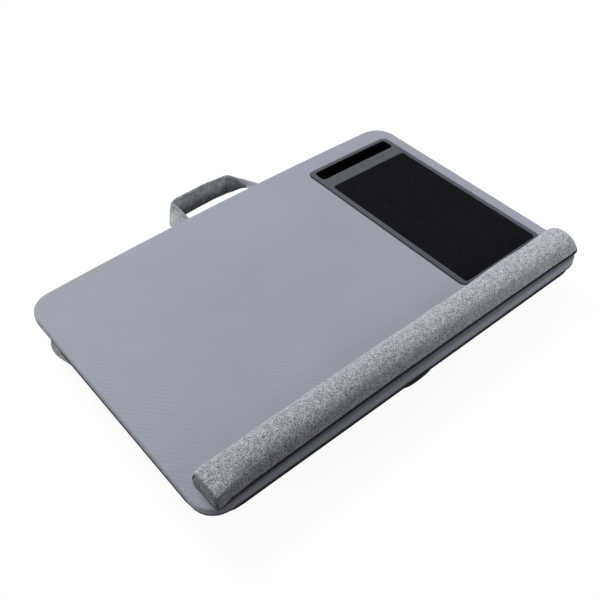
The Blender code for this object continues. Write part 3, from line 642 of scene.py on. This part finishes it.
REST_LEFT, REST_RIGHT = -0.2553, 0.2642
REST_FRONT, REST_BACK = 0.0057, 0.0475      # counted back from the board's front edge
REST_BOW_X = 0.06       # where its front line lies furthest back
REST_SLANT = 0.0052     # how much further back it reaches for each metre to the right
REST_HEIGHT = 0.0210
REST_CREST, REST_CREST_RATE = 0.035, 7.5    # it is a little higher in the middle, as a cosine of x
REST_LIFT = 0.0012      # between the board's top and the cover
REST_SQUARENESS = 2.2   # of its section, where 2 is an ellipse and more is boxier
REST_FOOT_INSET = 0.35  # share of a ring's inset that its foot takes
REST_ARC_STEPS = 44
REST_BODY_STEPS = 150

# Its left end, where the cover is folded like a parcel
FOLD_LENGTH = 0.040
FOLD_DROP, FOLD_FORWARD = 0.0008, 0.0010        # how much lower and further forward it reaches
FOLD_LOSS = 0.03        # share of the height that it lacks
FOLD_FRONT, FOLD_BACK = 4.5, 0.5                # squareness added in front and behind
CORNER_LENGTH, CORNER_PULL = 0.012, 0.0040      # its rear corner is drawn in
# Rings of the folded left end, from its middle outwards: how far each lies past the end, and its inset
LEFT_FACE = ((0.0007, 0.012), (0.0010, 0.008), (0.0008, 0.0055), (-0.0002, 0.0042), (-0.0022, 0.0032),
             (-0.0024, 0.0026), (-0.0012, 0.0016), (-0.0002, 0.0009))
LEFT_CORNER = ((0.0005, 0.0003), (0.0012, 0.0001), (0.0024, 0.0))       # then how far along, and the inset
BODY_START = 0.0036     # from the left end

# Its right end, which is a dome
DOME_LENGTH = 0.0105
DOME_DROP = 0.0088
DOME_POWER = 1.15
DOME_STEPS = 9
RIGHT_FACE = ((0.0002, 0.0115), (0.0003, 0.0150))       # last rings, from the dome to its middle

# The recess in its underside for the backing strip
BACKING_LOW, BACKING_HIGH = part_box("wrist_rest_backing")
BACKING_FRONT, BACKING_BACK = 0.0084, 0.0436        # counted like the rest's front line
BACKING_GAP = 0.0004
RECESS_SLOPE = 0.0002
RECESS_MARGIN = 0.0012  # between the recess and the cover's outline

# The cover's unevenness
SMOOTH_FOOT, FULLY_SOFT = 0.12, 0.4     # shares of the height where the unevenness starts and is full
LUMP_RATE, LUMP_HEIGHT = 22, 0.0011
LUMP_SHIFT = Vector((3.1, 0, 0))
WRINKLE_RATE, WRINKLE_HEIGHT = 60, 0.0004
FOLD_RATES, FOLD_HEIGHT = (60, 420, 420), 0.0006
FOLDS_LEFT, FOLDS_RIGHT = 0.03, 0.022   # length of the gathers at each end
SHRINKAGE = 0.0003      # keeps the cover's size on the whole


def rest_front(x):
    """Front line of the wrist rest, counted back from the board's front edge. It bows a little."""
    bow, span = (0.00165, 0.215) if x < REST_BOW_X else (0.0007, 0.165)
    return REST_FRONT - bow * ((x - REST_BOW_X) / span) ** 2


def rest_ring(x, inset, shift=0.0):
    """One ring of the wrist rest. It is boxy at its left end, where the cover is folded like a parcel.

    The inset grows with height, so an end rounds off more at its top than at its base. The shift moves
    the finished ring along the rest.
    """
    folded = 1 - smooth_step(REST_LEFT, REST_LEFT + FOLD_LENGTH, x)
    corner = max(0, 1 - (x - REST_LEFT) / CORNER_LENGTH)
    base = BOARD_TOP + REST_LIFT - FOLD_DROP * folded
    front = rest_front(x) - FOLD_FORWARD * folded
    back = REST_BACK + REST_SLANT * x - CORNER_PULL * corner ** 2
    middle, half = (front + back) / 2, (back - front) / 2
    height = REST_HEIGHT * (1 + REST_CREST * math.cos(x * REST_CREST_RATE) - FOLD_LOSS * folded) - inset
    ring = []
    for i in range(REST_ARC_STEPS + 1):
        angle = math.pi * i / REST_ARC_STEPS
        across, up = -math.cos(angle), math.sin(angle)
        power = 2 / (REST_SQUARENESS + folded * (FOLD_FRONT if across < 0 else FOLD_BACK))
        rise = up ** power
        reach = half - inset * (REST_FOOT_INSET + (1 - REST_FOOT_INSET) * rise)
        y = FRONT_Y + middle + reach * math.copysign(abs(across) ** power, across)
        ring.append(Vector((x, y, base + height * rise)))
    margin = inset * REST_FOOT_INSET + RECESS_MARGIN
    for y, rise in recess_profile(x, base):
        y = min(max(y, front + margin), back - margin)
        ring.append(Vector((x, FRONT_Y + y, base + rise)))
    return [p + Vector((shift, 0, 0)) for p in ring]


def recess_profile(x, base):
    """Underside of a ring from back to front, with room for the backing strip where there is one."""
    over_backing = BACKING_LOW.x - 2 * BACKING_GAP < x < BACKING_HIGH.x + 2 * BACKING_GAP
    depth = BACKING_HIGH.z + BACKING_GAP - base if over_backing else 0.0
    front, back = BACKING_FRONT + REST_SLANT * x, BACKING_BACK + REST_SLANT * x
    return ((back, 0), (back - RECESS_SLOPE, depth), (front + RECESS_SLOPE, depth), (front, 0))


def rest_rings():
    rings = [rest_ring(REST_LEFT, inset, -out) for out, inset in LEFT_FACE]
    rings += [rest_ring(REST_LEFT + along, inset) for along, inset in LEFT_CORNER]
    start, end = REST_LEFT + BODY_START, REST_RIGHT - DOME_LENGTH
    for i in range(REST_BODY_STEPS + 1):
        rings.append(rest_ring(start + (end - start) * i / REST_BODY_STEPS, 0))
    for i in range(1, DOME_STEPS + 1):
        angle = math.pi / 2 * i / DOME_STEPS
        drop = DOME_DROP * (1 - math.cos(angle)) ** DOME_POWER
        rings.append(rest_ring(end + DOME_LENGTH * math.sin(angle), drop))
    rings += [rest_ring(REST_RIGHT, inset, out) for out, inset in RIGHT_FACE]
    return rings


def knead_rest(bm):
    """Soft unevenness above the foot, and small gathers at both ends."""
    bm.normal_update()
    for v in bm.verts:
        share = (v.co.z - BOARD_TOP - REST_LIFT) / REST_HEIGHT
        if share < SMOOTH_FOOT:
            continue
        hold = smooth_step(SMOOTH_FOOT, FULLY_SOFT, share)
        soft = noise.noise(v.co * LUMP_RATE + LUMP_SHIFT) * LUMP_HEIGHT
        soft += noise.noise(v.co * WRINKLE_RATE) * WRINKLE_HEIGHT
        near_left = 1 - smooth_step(0, FOLDS_LEFT, v.co.x - REST_LEFT)
        near_right = 1 - smooth_step(0, FOLDS_RIGHT, REST_RIGHT - v.co.x)
        folds = noise.noise(Vector(FOLD_RATES) * v.co) * FOLD_HEIGHT
        v.co += v.normal * (soft + folds * max(near_left, near_right) - SHRINKAGE) * hold


def make_wrist_rest(material):
    bm = loft(rest_rings())
    knead_rest(bm)
    rest = make_piece("wrist_rest_cover", bm, material, "wrist_rest")


# Handle strap

STRAP_CROSS_STEPS = 16
STRAP_STATION_STEPS = 16
STRAP_HALF_THICK = 0.00098
STRAP_PADDING = 0.0005      # added to each face along the grip
PADDING_START, PADDING_FULL = 1.8, 4.0      # stations from either end
STRAP_HEM = 0.00025         # raised line beside each edge
STRAP_FIXED = FRONT_Y + 0.354       # its ends lie flat up to here
STRAP_UNEVENNESS = 0.0006
STRAP_WAVE_RATE = 55
EDGE_THICKNESS = (0.35, 0.8, 1.0)       # share of the thickness at an edge, one step in, and further in
STITCH_INSET = 2            # steps from an edge to its row of stitches
STITCH_LIFT = 0.00152       # from the middle of the strap
STITCH_ENDS = 40            # steps of the path without stitches at each end
STITCH_PITCH, STITCH_LENGTH, STITCH_RADIUS = 0.0030, 0.0020, 0.00028
STITCH_SIDES = 6


def strap_stations():
    """Inner edge, middle and outer edge of the strap, from its left end to its right end.

    Each point is millimetres to the right, back from the board's front edge, and up from its top face.
    The strap lies flat under the board and turns on edge behind it, with its inner edge at the grip's top.
    """
    return [
        ((-40, 322, -11.3), (-54, 322, -11.3), (-68, 322, -11.3)),
        ((-40, 336, -11.3), (-54, 336, -11.3), (-68, 336, -11.3)),
        ((-40, 349, -12.4), (-54, 349, -12.0), (-67, 349, -12.6)),
        ((-40.8, 361, -10.6), (-54, 361, -10.8), (-65, 361, -13.4)),
        ((-42, 370, -6.6), (-54.5, 370.5, -10.0), (-62.6, 369, -17.0)),
        ((-43.5, 378, -2.8), (-52.6, 379.5, -11.8), (-57.5, 377, -22.5)),
        ((-46.6, 385.3, 0.6), (-50, 386.2, -12.6), (-50.5, 384.5, -26.6)),
        ((-41.5, 388.6, 1.5), (-42.5, 389.4, -14.6), (-41.5, 388.6, -30.6)),
        ((-30, 389.6, 1.9), (-30, 390.2, -14.4), (-30, 389.4, -30.4)),
        ((-15, 390.0, 2.0), (-15, 390.7, -14.2), (-15, 389.9, -29.8)),
        ((0, 390.0, 1.9), (0, 390.7, -14), (0, 389.9, -29.2)),
        ((15, 389.4, 1.8), (15, 390.3, -14), (15, 389.6, -28.4)),
        ((27, 388.4, 1.7), (27, 389.6, -14), (27, 389.0, -28.3)),
        ((36, 386.8, 1.7), (37, 389.0, -13.8), (36, 388.2, -28.0)),
        ((41.2, 383.6, 0.8), (44.5, 385.5, -12.8), (43.8, 384.6, -26.6)),
        ((44.6, 378, -2.2), (52.0, 377, -8.6), (52.8, 378.6, -22.6)),
        ((49.0, 371, -7.2), (60.0, 369.5, -9.5), (60.0, 371, -19.5)),
        ((52.0, 362, -10.6), (64, 361, -11.3), (70, 362, -15.5)),
        ((47, 349, -12.4), (57, 349, -12.0), (69, 349, -12.6)),
        ((41, 336, -11.3), (55, 336, -11.3), (68, 336, -11.3)),
        ((40, 322, -11.3), (54, 322, -11.3), (68, 322, -11.3)),
    ]


def through_three(a, b, c, t):
    """Point on the parabola that starts at a, passes b half-way and ends at c."""
    return a * (2 * (t - 0.5) * (t - 1)) + b * (4 * t * (1 - t)) + c * (2 * t * (t - 0.5))


def strap_grid(inner, middle, outer):
    """Points across the strap at each step along it. The loose part is a little uneven."""
    steps = range(STRAP_CROSS_STEPS + 1)
    grid = []
    for edges in zip(inner, middle, outer):
        row = [through_three(*edges, k / STRAP_CROSS_STEPS) for k in steps]
        for p in row:
            if p.y > STRAP_FIXED:
                p += Vector((0, 1, 0.3)) * noise.noise(p * STRAP_WAVE_RATE) * STRAP_UNEVENNESS
        grid.append(row)
    return grid


def grid_normals(grid):
    normals = []
    for i, row in enumerate(grid):
        before, after = grid[max(i - 1, 0)], grid[min(i + 1, len(grid) - 1)]
        line = []
        for k in range(len(row)):
            along = after[k] - before[k]
            across = row[min(k + 1, len(row) - 1)] - row[max(k - 1, 0)]
            line.append(across.cross(along).normalized())
        normals.append(line)
    return normals


def strap_ring(row, normals, half_thick):
    """Section of the strap: along one face and back along the other."""
    last = len(row) - 1
    ring = []
    for side in (1, -1):
        for k in (range(last + 1) if side > 0 else range(last, -1, -1)):
            from_edge = min(k, last - k)
            thick = half_thick * EDGE_THICKNESS[min(from_edge, 2)]
            hem = STRAP_HEM if from_edge == 1 else 0.0
            ring.append(row[k] + normals[k] * side * (thick + hem))
    return ring


def make_strap(material, thread):
    to_world = Vector((0, FRONT_Y, BOARD_TOP))
    edges = [spline(line, STRAP_STATION_STEPS) for line in zip(*strap_stations())]
    inner, middle, outer = ([p * MM + to_world for p in edge] for edge in edges)
    grid = strap_grid(inner, middle, outer)
    normals = grid_normals(grid)
    last = len(grid) - 1
    rings = []
    for i, (row, line) in enumerate(zip(grid, normals)):
        padded = smooth_step(PADDING_START, PADDING_FULL, min(i, last - i) / STRAP_STATION_STEPS)
        rings.append(strap_ring(row, line, STRAP_HALF_THICK + STRAP_PADDING * padded))
    strap = make_piece("handle_strap_cloth", loft(rings), material, "handle_strap")
    make_stitches(grid, normals, thread)


def make_stitches(grid, normals, thread):
    """Two rows of stitches along each face of the strap."""
    stitches = bmesh.new()
    steps = range(STITCH_ENDS, len(grid) - STITCH_ENDS)
    for k in (STITCH_INSET, STRAP_CROSS_STEPS - STITCH_INSET):
        for side in (1, -1):
            add_stitches(stitches, [grid[i][k] + normals[i][k] * side * STITCH_LIFT for i in steps])
    make_piece("handle_stitches", stitches, thread)


def add_stitches(bm, path):
    """Short raised threads along a path."""
    walked, next_start, start = 0.0, STITCH_PITCH / 2, None
    for a, b in zip(path, path[1:]):
        walked += (b - a).length
        if start is None and walked >= next_start:
            start = a.copy()
        if start is not None and walked >= next_start + STITCH_LENGTH:
            add_thread(bm, start, b)
            next_start += STITCH_PITCH
            start = None


def add_thread(bm, start, end):
    """One stitch, thinner at its ends."""
    along = (end - start).normalized()
    side = along.orthogonal().normalized()
    up = along.cross(side)
    rows = []
    for share, size in ((0, 0.45), (0.15, 1), (0.85, 1), (1, 0.45)):
        radius = STITCH_RADIUS * size
        rows.append(ring_of_points(bm, start.lerp(end, share), side, up, radius, STITCH_SIDES))
    bridge(bm, rows)
    bm.faces.new(reversed(rows[0]))
    bm.faces.new(rows[-1])


# Bolster cushions

CUSHION_LOW, CUSHION_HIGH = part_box("cushion_left")
CUSHION_CORNER = 0.042
CUSHION_TAPER = 0.030   # how much narrower it is at its front
BULGE = 0.0036          # swelling of the cover just ahead of its rear corner
BULGE_Y = FRONT_Y + 0.256
BULGE_AHEAD, BULGE_BEHIND = 0.017, 0.045        # how far it runs out to the front and to the back
BULGE_INWARDS = 0.055
OUTLINE_STEP = 0.006
COVER_MARGIN = 0.0005   # between the unfilled cover and the solid's top and bottom
COVER_VOXEL = 0.005
FILL_PRESSURE, FILL_FRAMES = 4, 20
FILL_REACH = 0.010      # the filling moves no point further than this
SEWN_DEPTH = 0.0015     # the cover is held down to this depth below its top

# The seam round its bottom, and how the cover gathers there
SEAM_INSET, SEAM_RISE = 0.016, 0.004            # from the outline and from the bottom
SEAM_CLEARANCE = 0.0012                         # above the solid's bottom
SEAM_RADIUS, SEAM_SIDES = 0.0011, 8
GATHER_REACH, GATHER_HEIGHT = 0.011, 0.0007     # distance from the seam where they fade, and height
GATHER_TURN = 2.1       # from one point of the seam to the next, in radians
GATHER_DRIFT, GATHER_DRIFT_RATE = 3, 30         # makes them uneven
PINCH_REACH, PINCH_DEPTH = 0.0035, 0.0011       # the cover is drawn in right at the seam
DENT_RATE, DENT_HEIGHT = 17, 0.0016
HELD_TOP = 0.004        # depth below the top over which gathers and dents fade out
BOTTOM_GAP = 0.0001     # the cover stays this far above the solid's bottom
LEFT_SEED, RIGHT_SEED = 1.7, 8.2


def rounded_outline(corners, radius, step):
    """Points round a convex polygon with its corners rounded."""
    points = []
    count = len(corners)
    for i in range(count):
        here = Vector(corners[i])
        before = (here - Vector(corners[i - 1])).normalized()
        after = (Vector(corners[(i + 1) % count]) - here).normalized()
        turn = before.x * after.y - before.y * after.x
        centre = here + (after - before) * (radius / turn)
        start = math.atan2(-before.x, before.y)
        sweep = math.atan2(turn, before.dot(after))
        pieces = max(4, round(radius * sweep / step))
        for k in range(pieces + 1):
            angle = start + sweep * k / pieces
            points.append(centre + radius * Vector((math.cos(angle), math.sin(angle))))
    even = []
    for a, b in zip(points, points[1:] + points[:1]):
        pieces = max(1, round((b - a).length / step))
        even += [a.lerp(b, k / pieces) for k in range(pieces)]
    return even


def cushion_outline():
    """Left bolster seen from above: widest near its rear corner, narrower to the front."""
    front, back = CUSHION_LOW.y, CUSHION_HIGH.y
    widest, inner = CUSHION_LOW.x, CUSHION_HIGH.x
    slant = CUSHION_TAPER / (back - CUSHION_CORNER - front)
    corners = [(inner, front), (inner, back), (widest - slant * CUSHION_CORNER, back),
               (widest + CUSHION_TAPER, front)]
    return rounded_outline(corners, CUSHION_CORNER, OUTLINE_STEP)


def inset_ring(outline, inset, z):
    """The outline moved inwards, at one height."""
    middle = sum(outline, Vector((0, 0))) / len(outline)
    ring = []
    for i, p in enumerate(outline):
        along = (outline[(i + 1) % len(outline)] - outline[i - 1]).normalized()
        inward = Vector((along.y, -along.x))
        if (middle - p).dot(inward) < 0:
            inward = -inward
        ring.append(Vector((*(p + inward * inset), z)))
    return ring


def make_cushion_shape():
    """The left bolster's cover before filling: a belt round its outline between flat top and bottom."""
    outline = cushion_outline()
    top, bottom = CUSHION_HIGH.z - COVER_MARGIN, CUSHION_LOW.z + COVER_MARGIN
    profile = ((0.075, bottom), (0.045, bottom), (0.025, bottom + 0.001), (0.012, bottom + 0.006),
               (0.006, bottom + 0.014), (0.005, (top + bottom) / 2), (0.006, top - 0.012),
               (0.010, top - 0.004), (0.018, top), (0.045, top), (0.075, top))
    return loft([inset_ring(outline, inset, z) for inset, z in profile])


def fill_cover(piece):
    """Swells a closed cover with Blender's cloth."""
    make_even(piece)
    rest = [v.co.copy() for v in piece.data.vertices]
    add_filling(piece)
    moved = filled_points(piece)
    for v, old, new in zip(piece.data.vertices, rest, moved):
        shift = new - old
        if shift.length > FILL_REACH:
            shift *= FILL_REACH / shift.length
        v.co = old + shift
    piece.data.update()


def make_even(piece):
    bpy.context.view_layer.objects.active = piece
    remesh = piece.modifiers.new("even", "REMESH")
    remesh.mode = "VOXEL"
    remesh.voxel_size = COVER_VOXEL
    apply_modifiers(piece)


def add_filling(piece):
    """Cloth with pressure inside, sewn down along its top."""
    points = piece.data.vertices
    high = max(v.co.z for v in points)
    sewn = piece.vertex_groups.new(name="sewn")
    sewn.add([v.index for v in points if v.co.z > high - SEWN_DEPTH], 1.0, "REPLACE")
    cloth = piece.modifiers.new("fill", "CLOTH").settings
    cloth.quality = 5
    cloth.mass = 0.3
    cloth.tension_stiffness = 15
    cloth.compression_stiffness = 15
    cloth.bending_stiffness = 0.4
    cloth.use_pressure = True
    cloth.uniform_pressure_force = FILL_PRESSURE
    cloth.vertex_group_mass = "sewn"
    cloth.effector_weights.gravity = 0


def filled_points(piece):
    """Where the cloth's points are after its last frame."""
    scene = bpy.context.scene
    for frame_number in range(1, FILL_FRAMES + 1):
        scene.frame_set(frame_number)
    graph = bpy.context.evaluated_depsgraph_get()
    points = [v.co.copy() for v in piece.evaluated_get(graph).data.vertices]
    piece.modifiers.clear()
    scene.frame_set(1)
    return points


def apply_modifiers(piece):
    graph = bpy.context.evaluated_depsgraph_get()
    mesh = bpy.data.meshes.new_from_object(piece.evaluated_get(graph))
    old = piece.data
    piece.modifiers.clear()
    piece.data = mesh
    mesh.name = old.name
    bpy.data.meshes.remove(old)


def seam_tube(path):
    """Closed tube along the seam's closed path."""
    bm = bmesh.new()
    rows = []
    for i, p in enumerate(path):
        along = (path[(i + 1) % len(path)] - path[i - 1]).normalized()
        side = along.cross(Vector((0, 0, 1))).normalized()
        rows.append(ring_of_points(bm, p, side, side.cross(along), SEAM_RADIUS, SEAM_SIDES))
    bridge(bm, rows + rows[:1])
    bmesh.ops.recalc_face_normals(bm, faces=bm.faces)
    return bm


def mirrored_copy(piece, name):
    """A copy of a piece, turned over from left to right."""
    bm = bmesh.new()
    bm.from_mesh(piece.data)
    for v in bm.verts:
        v.co.x = -v.co.x
    bmesh.ops.reverse_faces(bm, faces=bm.faces)
    mesh = piece.data.copy()
    bm.to_mesh(mesh)
    bm.free()
    copy = bpy.data.objects.new(name, mesh)
    bpy.context.scene.collection.objects.link(copy)
    return copy


def pucker(piece, seam, seed):
    """Small gathers where the cover is sewn, and soft dents over the rest of it."""
    low, high = CUSHION_LOW.z, CUSHION_HIGH.z
    tree = KDTree(len(seam))
    for i, p in enumerate(seam):
        tree.insert(p, i)
    tree.balance()
    bm = bmesh.new()
    bm.from_mesh(piece.data)
    bm.normal_update()
    for v in bm.verts:
        _, i, gap = tree.find(v.co)
        drift = GATHER_DRIFT * noise.noise(v.co * GATHER_DRIFT_RATE + Vector((seed, 0, 0)))
        gather = math.sin(i * GATHER_TURN + drift) * GATHER_HEIGHT * math.exp(-(gap / GATHER_REACH) ** 2)
        pinch = -PINCH_DEPTH * math.exp(-(gap / PINCH_REACH) ** 2)
        dent = noise.noise(v.co * DENT_RATE + Vector((seed, 5, 0))) * DENT_HEIGHT
        hold = smooth_step(0, HELD_TOP, high - v.co.z)
        v.co += v.normal * (gather + pinch + dent) * hold
        v.co.z = min(max(v.co.z, low + BOTTOM_GAP), high)
    bm.to_mesh(piece.data)
    bm.free()


def reach_out(piece):
    """Stretches the left bolster to the solid's side, and lets it swell past that near its rear corner."""
    inner = CUSHION_HIGH.x
    widest = min(v.co.x for v in piece.data.vertices)
    stretch = (CUSHION_LOW.x - inner) / (widest - inner)
    for v in piece.data.vertices:
        v.co.x = inner + (v.co.x - inner) * stretch
        ahead = BULGE_Y - v.co.y
        reach = ahead / (BULGE_AHEAD if ahead > 0 else BULGE_BEHIND)
        outer = 1 - smooth_step(0, BULGE_INWARDS, v.co.x - CUSHION_LOW.x)
        v.co.x -= BULGE * math.exp(-reach * reach) * outer


def finish_cushion(piece, seam, seed, seam_name, thread):
    """Gathers and smooths one bolster, and lays its seam."""
    pucker(piece, seam, seed)
    smooth = piece.modifiers.new("smooth", "SUBSURF")
    smooth.levels = smooth.render_levels = 1
    piece.data.shade_smooth()
    raised = [Vector((p.x, p.y, max(p.z, CUSHION_LOW.z + SEAM_CLEARANCE))) for p in seam]
    make_piece(seam_name, seam_tube(raised), thread)


def make_cushions(material, thread):
    left = make_piece("bolster_left", make_cushion_shape(), material, "cushion_left")
    fill_cover(left)
    reach_out(left)
    sewn = inset_ring(cushion_outline(), SEAM_INSET, CUSHION_LOW.z + SEAM_RISE)
    seam = [left.closest_point_on_mesh(p)[1] for p in sewn]
    right = mirrored_copy(left, "bolster_right")
    register(right, "cushion_right")
    finish_cushion(left, seam, LEFT_SEED, "bolster_seam_left", thread)
    right_seam = [Vector((-p.x, p.y, p.z)) for p in seam]
    finish_cushion(right, right_seam, RIGHT_SEED, "bolster_seam_right", thread)


# Vent strip

NOSE_SAG = 0.0052       # how much further its front end hangs down
NOSE_START, NOSE_END = 0.007, 0.024     # from its front, where the sag grows less, and is gone
STRIP_NOSE_LENGTH, STRIP_TAIL_LENGTH = 0.03, 0.006
STRIP_BODY = 0.47       # share of the full height between the nose and the tail
STRIP_UNEVENNESS, STRIP_WAVE_RATE = 0.06, 40
STRIP_ROUNDNESS = 0.55  # power of its section's sine, where 1 is an ellipse and less is boxier
STRIP_STEPS = 60
STRIP_FLAT_STEPS = 12
STRIP_ARC_STEPS = 24
# How far from each end a section lies, and its share of the full height
STRIP_NOSE = ((0.0, 0.62), (0.0005, 0.82), (0.0013, 0.95), (0.0026, 1.0), (0.0075, 1.0), (0.014, 0.92),
              (0.022, 0.70), (0.030, 0.50))
STRIP_TAIL = ((0.003, 0.40), (0.001, 0.26), (0.0, 0.15))


def strip_sections(length):
    """How far from the front each section lies, and its share of the full height."""
    body = length - STRIP_NOSE_LENGTH - STRIP_TAIL_LENGTH
    sections = list(STRIP_NOSE)
    for i in range(1, STRIP_STEPS + 1):
        sections.append((STRIP_NOSE_LENGTH + body * i / STRIP_STEPS, STRIP_BODY))
    return sections + [(length - before_end, share) for before_end, share in STRIP_TAIL]


def strip_ring(half, y, top, drop):
    """Section with a flat top, which hangs down by the drop."""
    ring = []
    for k in range(STRIP_FLAT_STEPS + 1):
        ring.append(Vector((half * (1 - 2 * k / STRIP_FLAT_STEPS), y, top)))
    for k in range(1, STRIP_ARC_STEPS):
        turn = math.pi * k / STRIP_ARC_STEPS
        ring.append(Vector((-half * math.cos(turn), y, top - drop * math.sin(turn) ** STRIP_ROUNDNESS)))
    return ring


def make_vent_strip(material):
    low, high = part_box("centre_strip")
    rings = []
    for along, share in strip_sections(high.y - low.y):
        y = low.y + along
        uneven = 1 + STRIP_UNEVENNESS * noise.noise(Vector((0, y * STRIP_WAVE_RATE, 0)))
        drop = (high.z - low.z) * share * uneven
        drop += NOSE_SAG * share * (1 - smooth_step(NOSE_START, NOSE_END, along))
        rings.append(strip_ring((high.x - low.x) / 2, y, high.z, drop))
    bm = loft(rings)
    for v in bm.verts:
        v.co.z = max(v.co.z, low.z - NOSE_SAG)
    strip = make_piece("vent_strip", bm, material, "centre_strip")


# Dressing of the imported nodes

def dress(name, material):
    node = NODES[name]
    node.data.materials.clear()
    node.data.materials.append(material)


def dress_nodes():
    black = black_board_material()
    dress("top_board", laminate_material())
    dress("base_panel", black)
    dress("wrist_rest_backing", black)
    dress("tray_insert", tray_material())
    dress("slot_liner", rubber_material())
    dress("mouse_pad", mouse_pad_material())
    zinc = zinc_material()
    for name in NODES:
        if "screw" in name:
            dress(name, zinc)


# The scene

bpy.context.scene.view_settings.view_transform = "Standard"
make_camera()
make_studio()
dress_nodes()
thread = thread_material("grey_thread", (120, 123, 128))
make_tray_seam()
make_wrist_rest(heather_material("wrist_cloth_painted_shade", 0.85, shaded_rest))
make_strap(heather_material("strap_cloth_painted_light", 0.5, painted_light_on_grip), thread)
make_cushions(heather_material("heather_cloth"), thread)
make_vent_strip(mesh_fabric_material())
